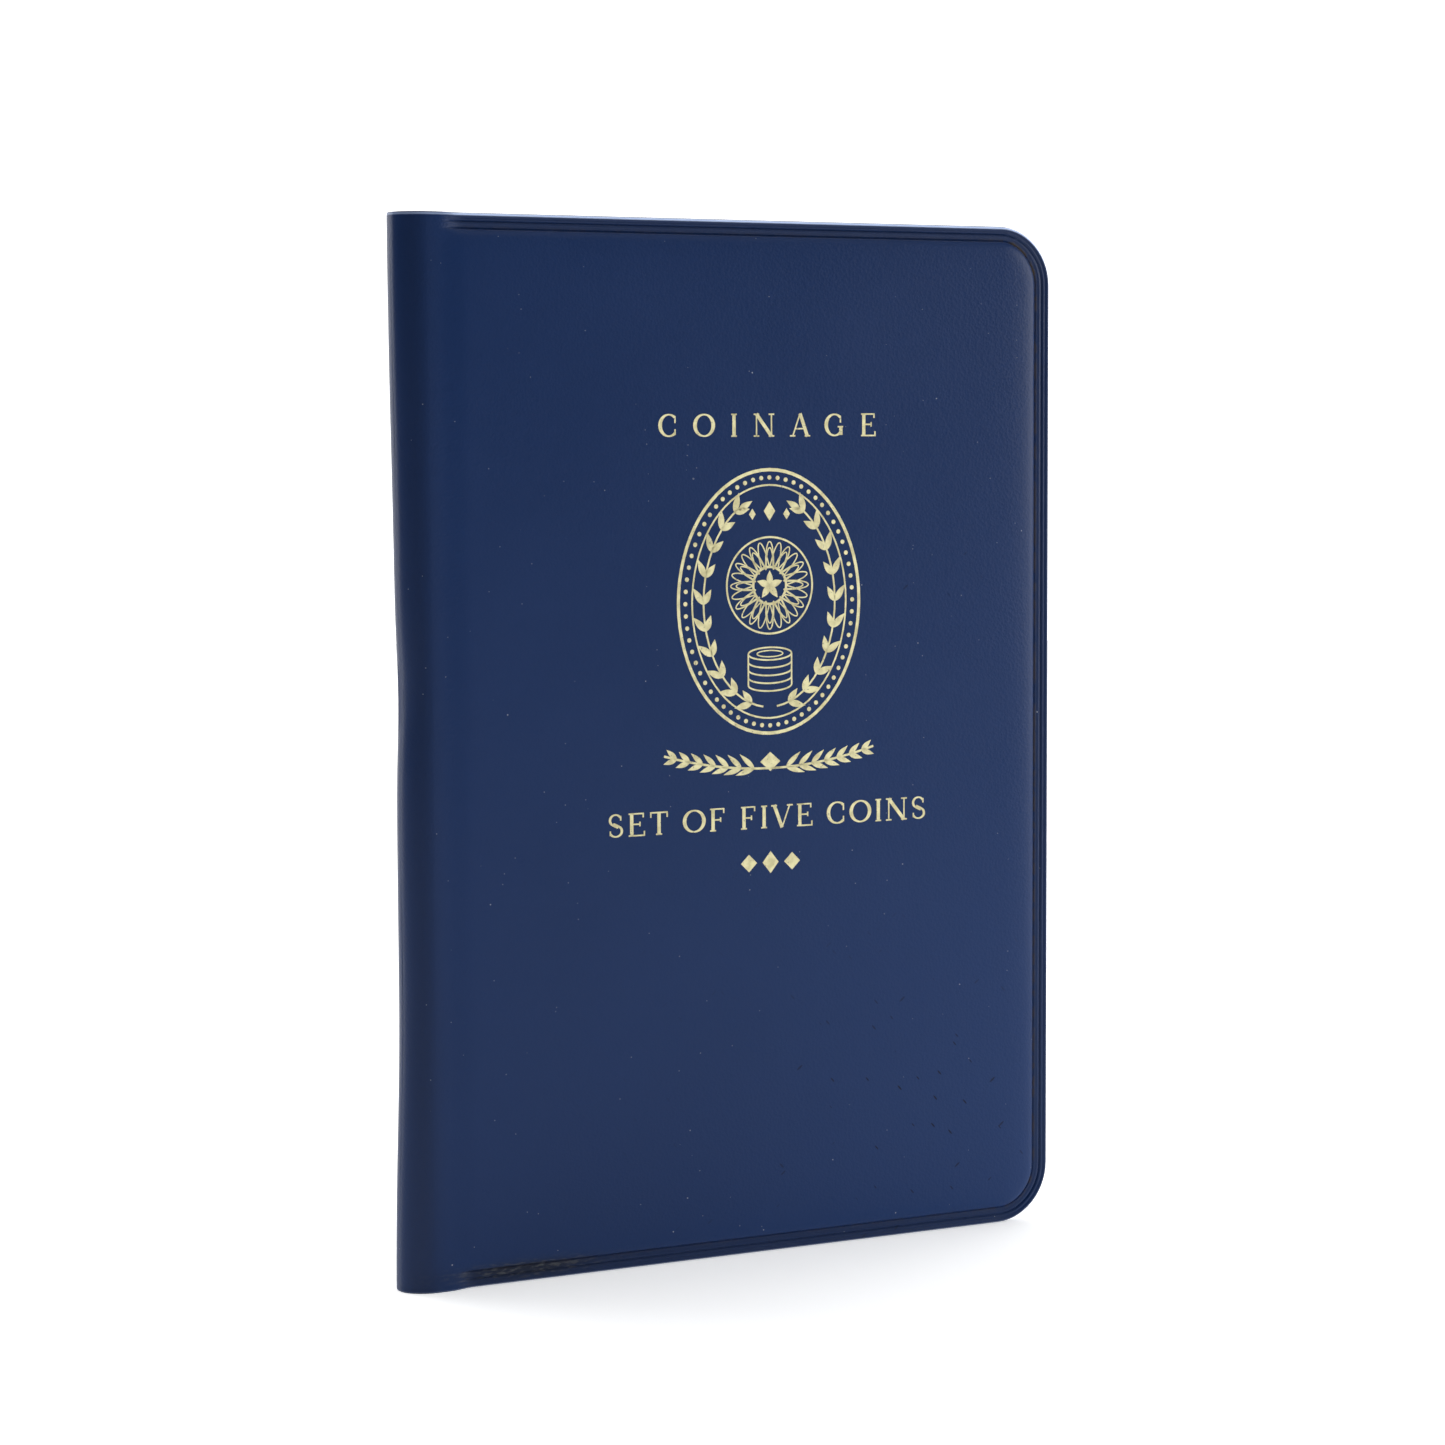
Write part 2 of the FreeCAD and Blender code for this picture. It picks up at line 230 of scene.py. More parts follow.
@dataclass
class Outline:
    """Grid over an upright panel whose two corners at high X are round.

    Points are kept as (x, z, inset), where inset is the distance in from the
    upper, lower and free edges, and from the near edge too when it has a seam.
    """

    low: Point
    high: Point
    corner: float
    columns: Sequence[float]
    rows: Sequence[float]
    insets: Sequence[float]
    near_seam: bool = False
    open_top: bool = False
    arc_steps: int = 14
    spots: list[tuple[float, float, float]] = field(default_factory=list)
    faces: list[tuple[int, ...]] = field(default_factory=list)
    _known: dict[Point, int] = field(default_factory=dict)

    def __post_init__(self) -> None:
        """Lay out the body, the free border and the two round corners."""
        (x_low, z_low), (x_high, z_high) = self.low, self.high
        body_end = x_high - self.corner
        insets = merged([i for i in self.insets if i < self.corner], [0.0, self.corner])
        inner = [r for r in self.rows if z_low + self.corner < r < z_high - self.corner]
        rows = merged([z_low + i for i in insets], inner, [z_high - i for i in insets])
        columns = merged([c for c in self.columns if x_low < c < body_end], [x_low, body_end])
        self._grid(columns, rows)
        mid_rows = merged([z_low + self.corner], inner, [z_high - self.corner])
        self._grid([x_high - i for i in reversed(insets)], mid_rows)
        self._fan(body_end, z_low + self.corner, -90, insets)
        self._fan(body_end, z_high - self.corner, 0, insets)

    def _spot(self, x: float, z: float, inset: Optional[float] = None) -> int:
        """Index of a point, shared where two stretches of grid meet.

        Args:
            x: place across.
            z: height.
            inset: distance in from the edge, if it is known.

        Returns:
            The point's index.
        """
        key = (round(x, 8), round(z, 8))
        if key not in self._known:
            if self.open_top and z > self.low[1] + self.corner:
                inset = min(z - self.low[1], self.high[0] - x)
            elif inset is None:
                inset = min(z - self.low[1], self.high[1] - z, self.high[0] - x)
            if self.near_seam:
                inset = min(inset, x - self.low[0])
            self._known[key] = len(self.spots)
            self.spots.append((x, z, max(0.0, inset)))
        return self._known[key]

    def _face(self, *corners: int) -> None:
        """Keep a face, dropping repeated corners.

        Args:
            corners: the indices of its points.
        """
        ring = tuple(dict.fromkeys(corners))
        if len(ring) > 2:
            self.faces.append(ring)

    def _grid(self, columns: Sequence[float], rows: Sequence[float]) -> None:
        """Rectangular stretch of grid.

        Args:
            columns: places across.
            rows: heights.
        """
        for x0, x1 in zip(columns, columns[1:]):
            for z0, z1 in zip(rows, rows[1:]):
                self._face(self._spot(x0, z0), self._spot(x1, z0),
                           self._spot(x1, z1), self._spot(x0, z1))

    def _fan(self, x: float, z: float, start_deg: float, insets: Sequence[float]) -> None:
        """Round corner about (x, z), a quarter turn from start_deg.

        Args:
            x: place across of the middle.
            z: height of the middle.
            start_deg: where the round starts.
            insets: distances in from the edge.
        """
        def at(inset: float, step: int) -> int:
            """Index of the point on a ring, so many steps round.

            Args:
                inset: distance in from the edge.
                step: steps from the start.

            Returns:
                The point's index.
            """
            turn = math.radians(start_deg + 90 * step / self.arc_steps)
            reach = self.corner - inset
            return self._spot(x + reach * math.cos(turn), z + reach * math.sin(turn), inset)

        for outer, inner in zip(insets, insets[1:]):
            for step in range(self.arc_steps):
                self._face(at(inner, step), at(outer, step), at(outer, step + 1), at(inner, step + 1))

    def shell(self, name: str, face: Callable[[float, float, float], float],
              back: Callable[[float, float, float], float], place: Place, flip: bool = False,
              marks: Optional[dict[str, Callable[[float, float, float], float]]] = None,
              sharp_deg: float = 40.0) -> bpy.types.Object:
        """Closed sheet with an outer face, an inner face and a rim.

        Args:
            name: the object's name.
            face: height of the outer face at (x, z, inset), outwards.
            back: height of the inner face.
            place: turns (x, z, height) into a point.
            flip: turn the faces round, for a mirrored piece.
            marks: float attributes by name, worked out from (x, z, inset).
            sharp_deg: edges that bend more than this stay sharp.

        Returns:
            The object.
        """
        count = len(self.spots)
        points = [place(x, z, face(x, z, i)) for x, z, i in self.spots]
        points += [place(x, z, back(x, z, i)) for x, z, i in self.spots]
        faces = [tuple(f) for f in self.faces]
        faces += [tuple(count + v for v in reversed(f)) for f in self.faces]
        edges: dict[tuple[int, int], bool] = {}
        for ring in self.faces:
            for a, b in zip(ring, ring[1:] + ring[:1]):
                if (b, a) in edges:
                    del edges[(b, a)]
                else:
                    edges[(a, b)] = True
        faces += [(b, a, count + a, count + b) for a, b in edges]
        if flip:
            faces = [tuple(reversed(f)) for f in faces]
        values = {mark: [rule(*s) for s in self.spots] * 2 for mark, rule in (marks or {}).items()}
        return mesh_object(name, points, faces, values, sharp_deg)


# ---- drawn work: foil, ink and struck relief -------------------------------------
@dataclass
class Ribbon:
    """A flat stroke along a path, in millimetres, with a width at each point."""

    path: list[Point]
    widths: list[float]
    closed: bool = False

    def moved(self, x: float, z: float, scale: float = 1.0, mirror: bool = False) -> "Ribbon":
        """The same stroke, scaled, mirrored about its upright axis if asked, and moved.

        Args:
            x: move across.
            z: move up.
            scale: size against the old one.
            mirror: whether it is mirrored.

        Returns:
            The new stroke.
        """
        sign = -1 if mirror else 1
        path = [(x + px * scale * sign, z + pz * scale) for px, pz in self.path]
        return Ribbon(path, [w * scale for w in self.widths], self.closed)


def line(x0: float, z0: float, x1: float, z1: float, width: float, steps: int = 1) -> Ribbon:
    """Straight stroke."""
    path = [(mixed(x0, x1, s), mixed(z0, z1, s)) for s in spread(0, 1, steps)]
    return Ribbon(path, [width] * len(path))


def arc(x: float, z: float, rx: float, rz: float, start: float, end: float,
        width: float, swell: float = 0.0, steps: int = 20) -> Ribbon:
    """Stroke round part of an oval, from start to end in degrees; swell thickens its sides.

    Args:
        x: place of the middle.
        z: height of the middle.
        rx: half width.
        rz: half height.
        start: first angle.
        end: last angle.
        width: width of the stroke.
        swell: width added at the sides.
        steps: number of straight runs.

    Returns:
        The stroke.
    """
    path, widths = [], []
    for degrees in spread(start, end, steps):
        turn = math.radians(degrees)
        path.append((x + rx * math.cos(turn), z + rz * math.sin(turn)))
        widths.append(width + swell * abs(math.cos(turn)) ** 1.5)
    return Ribbon(path, widths)


def oval(x: float, z: float, rx: float, rz: float, width: float, steps: int = 72) -> Ribbon:
    """Closed oval line.

    Args:
        x: place of the middle.
        z: height of the middle.
        rx: half width.
        rz: half height.
        width: width of the line.
        steps: number of straight runs.

    Returns:
        The line.
    """
    ring = arc(x, z, rx, rz, 0, 360 * (steps - 1) / steps, width, steps=steps - 1)
    ring.closed = True
    return ring


def disc(x: float, z: float, radius: float, steps: int = 12) -> Ribbon:
    """Filled round dot.

    Args:
        x: place of the middle.
        z: height of the middle.
        radius: its radius.
        steps: number of straight runs.

    Returns:
        The dot.
    """
    path = [(x - radius * math.cos(math.pi * s), z) for s in spread(0, 1, steps)]
    widths = [max(0.02 * radius, 2 * radius * math.sin(math.pi * s)) for s in spread(0, 1, steps)]
    return Ribbon(path, widths)


def lozenge(x: float, z: float, width: float, height: float) -> Ribbon:
    """Filled lozenge."""
    tip = 0.02 * height
    return Ribbon([(x - width / 2, z), (x, z), (x + width / 2, z)], [tip, height, tip])


def leaf(x: float, z: float, degrees: float, length: float, width: float) -> Ribbon:
    """Pointed leaf from its base, growing in a direction given in degrees.

    Args:
        x: place of the base.
        z: height of the base.
        degrees: the direction.
        length: base to tip.
        width: greatest width.

    Returns:
        The leaf.
    """
    turn = math.radians(degrees)
    steps = spread(0, 1, 8)
    path = [(x + length * s * math.cos(turn), z + length * s * math.sin(turn)) for s in steps]
    return Ribbon(path, [width * max(0.04, math.sin(math.pi * s ** 0.8)) for s in steps])


class Lettering:
    """Plain roman capitals and figures, drawn from thick and thin strokes in a box one high."""

    THICK = 0.16
    THIN = 0.065
    SERIF = 0.22

    def __init__(self) -> None:
        """Draw each letter as strokes and note how wide it is."""
        thick, thin = self.THICK, self.THIN
        self.glyphs: dict[str, tuple[float, list[Ribbon]]] = {
            " ": (0.32, []),
            "C": (0.80, [arc(0.42, 0.5, 0.34, 0.46, 48, 312, thin, 0.11),
                         line(0.66, 0.6, 0.66, 0.9, thin), line(0.66, 0.1, 0.66, 0.34, thin)]),
            "O": (0.88, [self._bowl(0.44, 0.36)]),
            "I": (0.36, [*self._stem(0.18, thick)]),
            "N": (0.92, [*self._stem(0.15, thin), *self._stem(0.75, thin),
                         line(0.15, 0.98, 0.75, 0.02, thick)]),
            "A": (0.84, [line(0.12, 0, 0.42, 1.0, thin), line(0.42, 1.0, 0.72, 0, thick),
                         line(0.22, 0.34, 0.62, 0.34, thin), self._serif(0.12, 0), self._serif(0.72, 0)]),
            "G": (0.88, [arc(0.42, 0.5, 0.34, 0.46, 48, 312, thin, 0.11),
                         line(0.66, 0.6, 0.66, 0.9, thin), line(0.68, 0.06, 0.68, 0.42, thick),
                         self._serif(0.66, 0.42)]),
            "E": (0.72, [*self._stem(0.18, thick), line(0.18, 0.97, 0.6, 0.97, thin),
                         line(0.18, 0.52, 0.48, 0.52, thin), line(0.18, 0.03, 0.64, 0.03, thin),
                         line(0.6, 0.8, 0.6, 1.0, thin), line(0.64, 0, 0.64, 0.22, thin),
                         line(0.48, 0.42, 0.48, 0.62, thin)]),
            "S": (0.64, [arc(0.31, 0.735, 0.2, 0.235, 30, 250, thin, 0.05),
                         arc(0.32, 0.265, 0.22, 0.235, 70, -150, thin, 0.05),
                         line(0.22, 0.56, 0.42, 0.44, thick),
                         line(0.5, 0.72, 0.5, 0.92, thin), line(0.12, 0.08, 0.12, 0.28, thin)]),
            "T": (0.76, [*self._stem(0.38, thick), line(0.08, 0.97, 0.68, 0.97, thin),
                         line(0.08, 0.76, 0.08, 1.0, thin), line(0.68, 0.76, 0.68, 1.0, thin)]),
            "F": (0.68, [*self._stem(0.18, thick), line(0.18, 0.97, 0.58, 0.97, thin),
                         line(0.18, 0.5, 0.46, 0.5, thin), line(0.58, 0.78, 0.58, 1.0, thin),
                         line(0.46, 0.4, 0.46, 0.6, thin)]),
            "V": (0.84, [line(0.12, 1.0, 0.42, 0, thick), line(0.42, 0, 0.72, 1.0, thin),
                         self._serif(0.12, 1.0), self._serif(0.72, 1.0)]),
            "0": (0.66, [self._bowl(0.33, 0.25)]),
            "1": (0.44, [*self._stem(0.24, thick), line(0.08, 0.8, 0.24, 0.98, thin)]),
            "2": (0.62, [arc(0.3, 0.72, 0.2, 0.25, 165, -30, thin, 0.08),
                         line(0.47, 0.6, 0.08, 0.06, thin * 1.6), line(0.06, 0.05, 0.56, 0.05, thick * 0.8),
                         disc(0.13, 0.74, 0.075)]),
            "5": (0.62, [line(0.14, 0.95, 0.54, 0.95, thick * 0.8), line(0.14, 0.98, 0.12, 0.5, thin),
                         arc(0.28, 0.3, 0.24, 0.27, 125, -150, thin, 0.08), disc(0.11, 0.2, 0.075)]),
        }

    def _serif(self, x: float, z: float) -> Ribbon:
        """Short bar across the end of a stem."""
        level = min(1 - self.THIN / 2, max(self.THIN / 2, z))
        return line(x - self.SERIF / 2, level, x + self.SERIF / 2, level, self.THIN)

    def _stem(self, x: float, width: float) -> list[Ribbon]:
        """Upright with a serif at its head and foot."""
        return [line(x, 0, x, 1, width), self._serif(x, 0), self._serif(x, 1)]

    def _bowl(self, x: float, rx: float) -> Ribbon:
        """Closed round letter stroke.

        Args:
            x: place of the middle.
            rx: half width.

        Returns:
            The stroke.
        """
        ring = arc(x, 0.5, rx, 0.46, 0, 350, self.THIN, 0.11, 35)
        ring.closed = True
        return ring

    def word(self, text: str, x: float, z: float, height: float, length: Optional[float] = None,
             gap: float = 0.08, wide: float = 1.0) -> list[Ribbon]:
        """Set a word centred on (x, z).

        Args:
            text: the characters.
            x: middle of the word.
            z: middle height of the letters.
            height: letter height.
            length: whole length; the gaps are stretched to reach it.
            gap: space between letters, as a share of the height.
            wide: how much wider than usual the letters are.

        Returns:
            The word's strokes.
        """
        letters = [self.glyphs[c] for c in text]
        body = sum(width for width, _ in letters) * height * wide
        space = gap * height
        if length is not None and len(letters) > 1:
            space = (length - body) / (len(letters) - 1)
        pen = x - (body + space * (len(letters) - 1)) / 2
        strokes = []
        for width, parts in letters:
            for part in parts:
                path = [(px * wide, pz) for px, pz in part.path]
                strokes.append(Ribbon(path, part.widths, part.closed).moved(pen, z - height / 2, height))
            pen += width * wide * height + space
        return strokes


def drawn_object(name: str, ribbons: Iterable[Ribbon], place: Place, lift: float, sink: float,
                 flip: bool = False) -> bpy.types.Object:
    """Make thin closed solids from strokes.

    Args:
        name: the object's name.
        ribbons: strokes in millimetres.
        place: turns (x, z, height), in metres, into a point; x and z are the strokes' own.
        lift: height of the strokes' faces in metres.
        sink: depth of their undersides.
        flip: turn the faces round, for a mirrored face.

    Returns:
        The object.
    """
    points: list[Vector] = []
    faces: list[tuple[int, ...]] = []
    for ribbon in ribbons:
        path, count = ribbon.path, len(ribbon.path)
        first = len(points)
        for index, (x, z) in enumerate(path):
            before = path[index - 1] if index or ribbon.closed else path[0]
            after = path[(index + 1) % count] if index + 1 < count or ribbon.closed else path[-1]
            dx, dz = after[0] - before[0], after[1] - before[1]
            reach = math.hypot(dx, dz) or 1.0
            nx, nz = -dz / reach, dx / reach
            half = ribbon.widths[index] / 2
            for side, height in ((1, lift), (-1, lift), (1, -sink), (-1, -sink)):
                points.append(place((x + nx * half * side) * MM, (z + nz * half * side) * MM, height))
        spans = count if ribbon.closed else count - 1
        for index in range(spans):
            a, b = first + 4 * index, first + 4 * ((index + 1) % count)
            faces += [(a + 1, b + 1, b, a), (a + 2, b + 2, b + 3, a + 3),
                      (a, b, b + 2, a + 2), (b + 1, a + 1, a + 3, b + 3)]
        if not ribbon.closed:
            last = first + 4 * (count - 1)
            faces += [(first, first + 2, first + 3, first + 1), (last + 1, last + 3, last + 2, last)]
    if flip:
        faces = [tuple(reversed(f)) for f in faces]
    return mesh_object(name, points, faces, sharp_deg=30)


# ---- shader sums -----------------------------------------------------------------
class Value:
    """A shader socket; arithmetic on it adds Math nodes."""

    def __init__(self, tree: "Tree", socket: Any) -> None:
        """Wrap an output socket."""
        self.tree = tree
        self.socket = socket

    def _math(self, operation: str, *terms: Any) -> "Value":
        """Add one Math node."""
        return self.tree.add("ShaderNodeMath", {"operation": operation}, dict(enumerate(terms)))

    def __add__(self, other: Any) -> "Value":
        """Sum."""
        return self._math("ADD", self, other)

    __radd__ = __add__

    def __mul__(self, other: Any) -> "Value":
        """Product."""
        return self._math("MULTIPLY", self, other)

    __rmul__ = __mul__

    def __sub__(self, other: Any) -> "Value":
        """Difference."""
        return self._math("SUBTRACT", self, other)

    def __rsub__(self, other: Any) -> "Value":
        """Difference from a number."""
        return self._math("SUBTRACT", other, self)

    def above(self, edge: float, soft: float) -> "Value":
        """Mask that eases from 0 below edge to 1 at edge plus soft."""
        return self.tree.add("ShaderNodeMapRange", {"interpolation_type": "SMOOTHSTEP"},
                             {0: self, 1: edge, 2: edge + soft})

    def below(self, edge: float, soft: float) -> "Value":
        """Mask that eases from 1 at edge minus soft to 0 above edge."""
        return 1 - self.above(edge - soft, soft)

    def between(self, low: float, high: float) -> "Value":
        """The 0 to 1 value stretched to run from low to high."""
        return self * (high - low) + low


class Tree:
    """Node tree of one material, with its Principled shader."""

    def __init__(self, name: str) -> None:
        """Start a material with nothing but its shader and output.

        Args:
            name: the material's name.
        """
        self.material = bpy.data.materials.new(name)
        self.material.use_nodes = True
        self.nodes = self.material.node_tree.nodes
        self.links = self.material.node_tree.links
        self.shader = next(n for n in self.nodes if n.type == "BSDF_PRINCIPLED")

    def add(self, kind: str, settings: Optional[dict[str, Any]] = None,
            inputs: Optional[dict[Any, Any]] = None, output: Any = 0) -> Value:
        """Add a node.

        Args:
            kind: the node's type.
            settings: its properties, set first.
            inputs: values or links by socket name or number.
            output: the socket that is handed back.

        Returns:
            The chosen output.
        """
        node = self.nodes.new(kind)
        for key, value in (settings or {}).items():
            setattr(node, key, value)
        for key, value in (inputs or {}).items():
            self.feed(node.inputs[key], value)
        return Value(self, node.outputs[output])

    def feed(self, socket: Any, value: Any) -> None:
        """Link or set one input.

        Args:
            socket: the input.
            value: a number, a colour or another node's output.
        """
        if isinstance(value, Value):
            self.links.new(value.socket, socket)
        else:
            socket.default_value = value

    def finish(self, **sockets: Any) -> bpy.types.Material:
        """Set the shader's sockets, named with underscores for spaces, and give back the material.

        Args:
            sockets: a value or link for each socket.

        Returns:
            The material.
        """
        for name, value in sockets.items():
            self.feed(self.shader.inputs[name.replace("_", " ")], value)
        return self.material

    def place(self) -> Value:
        """Place on the object, in metres."""
        return self.add("ShaderNodeTexCoord", output="Object")

    def stretched(self, longer: tuple[float, float, float], turn: float = 0.0) -> Value:
        """Place in which a pattern comes out that much longer along axes turned about Y."""
        return self.add("ShaderNodeMapping", {"vector_type": "TEXTURE"},
                        {"Vector": self.place(), "Scale": longer, "Rotation": (0.0, turn, 0.0)})

    def mark(self, name: str) -> Value:
        """Float attribute of the mesh."""
        return self.add("ShaderNodeAttribute", {"attribute_name": name}, output="Fac")

    def noise(self, size: float, detail: float = 2.0, at: Optional[Value] = None) -> Value:
        """Cloudy value with features of a size in metres."""
        return self.add("ShaderNodeTexNoise", {}, {"Vector": at or self.place(), "Scale": 1 / size,
                                                   "Detail": detail})

    def cells(self, size: float, output: str = "Distance", at: Optional[Value] = None) -> Value:
        """Distance to the nearest scattered point, or that point's random colour."""
        return self.add("ShaderNodeTexVoronoi", {}, {"Vector": at or self.place(), "Scale": 1 / size},
                        output)

    def specks(self, size: float, radius: float, share: float, at: Optional[Value] = None) -> Value:
        """Round specks: one in each cell of that size, kept for a share of the cells.

        Args:
            size: size of a cell.
            radius: radius of a speck.
            share: share of the cells that keep one.
            at: place to use in its stead.

        Returns:
            The mask.
        """
        near = self.cells(size, at=at).below(radius / size, 0.4 * radius / size)
        chance = self.add("ShaderNodeSeparateColor", {}, {0: self.cells(size, "Color", at)})
        return near * chance.below(share, 0.02)

    def strokes(self, size: float, radius: float, share: float, turn: float, longer: float) -> Value:
        """Specks drawn out into short strokes at a slant."""
        return self.specks(size, radius, share, self.stretched((1.0, 1.0, longer), turn))

    def mix(self, first: Any, second: Any, share: Any) -> Value:
        """Colour between two colours."""
        return self.add("ShaderNodeMix", {"data_type": "RGBA"}, {0: share, 6: first, 7: second}, 2)

    def bumped(self, height: Value, distance: float, strength: float = 1.0) -> Value:
        """Normal of a relief of that height in metres."""
        return self.add("ShaderNodeBump", {}, {"Height": height, "Distance": distance,
                                               "Strength": strength}, "Normal")


Colour = tuple[float, float, float, float]


def colour(red: float, green: float, blue: float) -> Colour:
    """Opaque linear colour."""
    return (red, green, blue, 1.0)


@dataclass(frozen=True)
class VinylFinish:
    """Satin vinyl sheet: fine pebble grain, dust specks, rubbed scratches and a dusty seam, with painted
    shade on the spine's bend, a painted highlight on the lip and painted light towards the foot and the free
    edge.
    """

    name: str = "cover_vinyl"
    shade: Colour = colour(0.0060, 0.0212, 0.0780)
    light: Colour = colour(0.0078, 0.0256, 0.0925)
    # deep: darker blue for the welded seam, and painted shade on the spine's bend
    deep: Colour = colour(0.008, 0.018, 0.055)
    # pale: painted light, paler vinyl towards the foot and the free edge
    pale: Colour = colour(0.0085, 0.0315, 0.116)
    dust: Colour = colour(0.40, 0.43, 0.48)
    grime: Colour = colour(0.060, 0.044, 0.026)
    soot: Colour = colour(0.009, 0.012, 0.022)
    ash: Colour = colour(0.070, 0.076, 0.086)
    scuff: Colour = colour(0.002, 0.004, 0.012)
    # edge: painted highlight colour for the thin line along the lip
    edge: Colour = colour(0.52, 0.64, 0.92)
    roughness: float = 0.33
    shine: float = 0.15
    worn: bool = True

    def material(self) -> bpy.types.Material:
        """Build the vinyl.

        Returns:
            The material.
        """
        tree = Tree(self.name)
        cloud = tree.noise(22 * MM, 4)
        base = tree.mix(self.shade, self.light, cloud)
        pebble = tree.cells(0.42 * MM)
        fine = tree.noise(0.16 * MM, 2)
        rough = cloud.between(self.roughness - 0.04, self.roughness + 0.05)
        # worn also turns on the painted light, the painted shade on the spine's bend and the painted lip
        # highlight.
        if self.worn:
            # Painted light: paler and bluer towards the foot and the free edge.
            base = tree.mix(base, self.pale, tree.mark("faded"))
            seam, smudge = tree.mark("seam"), tree.mark("smudge")
            stain = tree.mark("stain") * tree.noise(1.6 * MM, 4).above(0.38, 0.22)
            base = self.soiled(tree, base, seam, smudge, stain)
            base = self.scuffed(tree, base, tree.mark("rubbed"))
            base = self.dusted(tree, base)
            rough = rough + stain * 0.3 + smudge * 0.2 + seam * 0.04
        relief = pebble * 0.7 + fine * 0.5
        return tree.finish(Base_Color=base, Roughness=rough, Specular_IOR_Level=self.shine,
                           Normal=tree.bumped(relief, 0.026 * MM, 0.9))

    def soiled(self, tree: Tree, base: Value, seam: Value, smudge: Value, stain: Value) -> Value:
        """Darken the seam, paint shade on the spine's bend, dust the foot, add the grime, and paint a pale
        highlight on the lip.

        Args:
            tree: the material's tree.
            base: colour so far.
            seam: mask of the sunk seam.
            smudge: mask of the dust.
            stain: mask of the grime.

        Returns:
            The new colour.
        """
        base = tree.mix(base, self.deep, seam * 0.6)
        # Painted shade along the front of the spine's bend.
        base = tree.mix(base, self.deep, tree.mark("hand") * 0.55)
        streak = tree.noise(0.34 * MM, 5, tree.stretched((4.0, 1.0, 1.0))).above(0.48, 0.18)
        base = tree.mix(base, self.soot, smudge * 0.75)
        base = tree.mix(base, self.ash, streak * smudge * 0.75)
        base = tree.mix(base, self.grime, stain)
        # Painted highlight: a thin pale line along the lip, brightest at the head.
        return tree.mix(base, self.edge, tree.mark("lip"))

    def scuffed(self, tree: Tree, base: Value, rubbed: Value) -> Value:
        """Short dark scuffs at two slants, and a few long pale scratches.

        Args:
            tree: the material's tree.
            base: colour so far.
            rubbed: where the vinyl is scuffed.

        Returns:
            The new colour.
        """
        scuff = tree.strokes(1.8 * MM, 0.17 * MM, 0.8, 0.9, 4.0)
        scuff = scuff + tree.strokes(1.4 * MM, 0.14 * MM, 0.7, 2.4, 4.0)
        base = tree.mix(base, self.scuff, scuff * rubbed * 0.95)
        scratch = tree.strokes(3.0 * MM, 0.07 * MM, 0.4, 1.9, 7.0)
        return tree.mix(base, self.dust, scratch * rubbed * 0.6)

    def dusted(self, tree: Tree, base: Value) -> Value:
        """Dust specks of three sizes; where they would add up past 1, none is shown.

        Args:
            tree: the material's tree.
            base: colour so far.

        Returns:
            The new colour.
        """
        specks = tree.specks(3.2 * MM, 0.11 * MM, 0.5) * 0.8
        specks = specks + tree.specks(1.5 * MM, 0.085 * MM, 0.35) * 0.45
        specks = specks + tree.specks(9 * MM, 0.15 * MM, 0.3)
        return tree.mix(base, self.dust, specks.below(1.0, 0.01) * specks * 0.8)


@dataclass(frozen=True)
class BoardFinish:
    """Pressed grey-brown board with fibres."""

    name: str = "cover_board"

    def material(self) -> bpy.types.Material:
        """Build the board.

        Returns:
            The material.
        """
        tree = Tree(self.name)
        fibre = tree.noise(0.5 * MM, 4, tree.stretched((3.3, 1.0, 1.0)))
        base = tree.mix(colour(0.30, 0.24, 0.17), colour(0.47, 0.40, 0.30), fibre)
        base = tree.mix(base, colour(0.12, 0.10, 0.08), tree.specks(2.2 * MM, 0.14 * MM, 0.4) * 0.7)
        return tree.finish(Base_Color=base, Roughness=fibre.between(0.82, 0.95),
                           Normal=tree.bumped(fibre, 0.05 * MM))


@dataclass(frozen=True)
class FoamFinish:
    """Thin yellowed foam with open cells."""

    name: str = "foam_padding"

    def material(self) -> bpy.types.Material:
        """Build the foam.

        Returns:
            The material.
        """
        tree = Tree(self.name)
        pores = tree.cells(0.5 * MM).above(0.25, 0.3)
        base = tree.mix(colour(0.42, 0.36, 0.22), colour(0.68, 0.62, 0.46), pores)
        return tree.finish(Base_Color=base, Roughness=pores.between(0.88, 0.98),
                           Normal=tree.bumped(pores, 0.15 * MM))


@dataclass(frozen=True)
class FilmFinish:
    """Clear flexible film, a little cloudy along its welds, with fine handling marks."""

    name: str = "clear_film"
    tint: Colour = colour(0.80, 0.86, 0.93)

    def material(self) -> bpy.types.Material:
        """Build the film.

        Returns:
            The material.
        """
        tree = Tree(self.name)
        haze = tree.noise(14 * MM, 3)
        marks = tree.noise(0.35 * MM, 2, tree.stretched((1.0, 1.0, 25.0), 0.9)).above(0.70, 0.04)
        weld = tree.mark("seam")
        alpha = haze.between(0.05, 0.09) + marks * 0.10 + weld * 0.22
        return tree.finish(Base_Color=self.tint, Roughness=haze.between(0.06, 0.12) + marks * 0.2,
                           Alpha=alpha, Specular_IOR_Level=0.8,
                           Normal=tree.bumped(haze, 0.25 * MM, 0.6))


@dataclass(frozen=True)
class CardFinish:
    """Smooth printed card or coloured mount card."""

    name: str
    pale: Colour
    deep: Colour
    roughness: float = 0.6

    def material(self) -> bpy.types.Material:
        """Build the card.

        Returns:
            The material.
        """
        tree = Tree(self.name)
        cloud = tree.noise(30 * MM, 3)
        fibre = tree.noise(0.3 * MM, 4)
        base = tree.mix(self.deep, self.pale, cloud.between(0.35, 1.0))
        base = tree.mix(base, self.deep, fibre.above(0.55, 0.2) * 0.25)
        return tree.finish(Base_Color=base, Roughness=fibre.between(self.roughness, self.roughness + 0.12),
                           Normal=tree.bumped(fibre, 0.012 * MM))


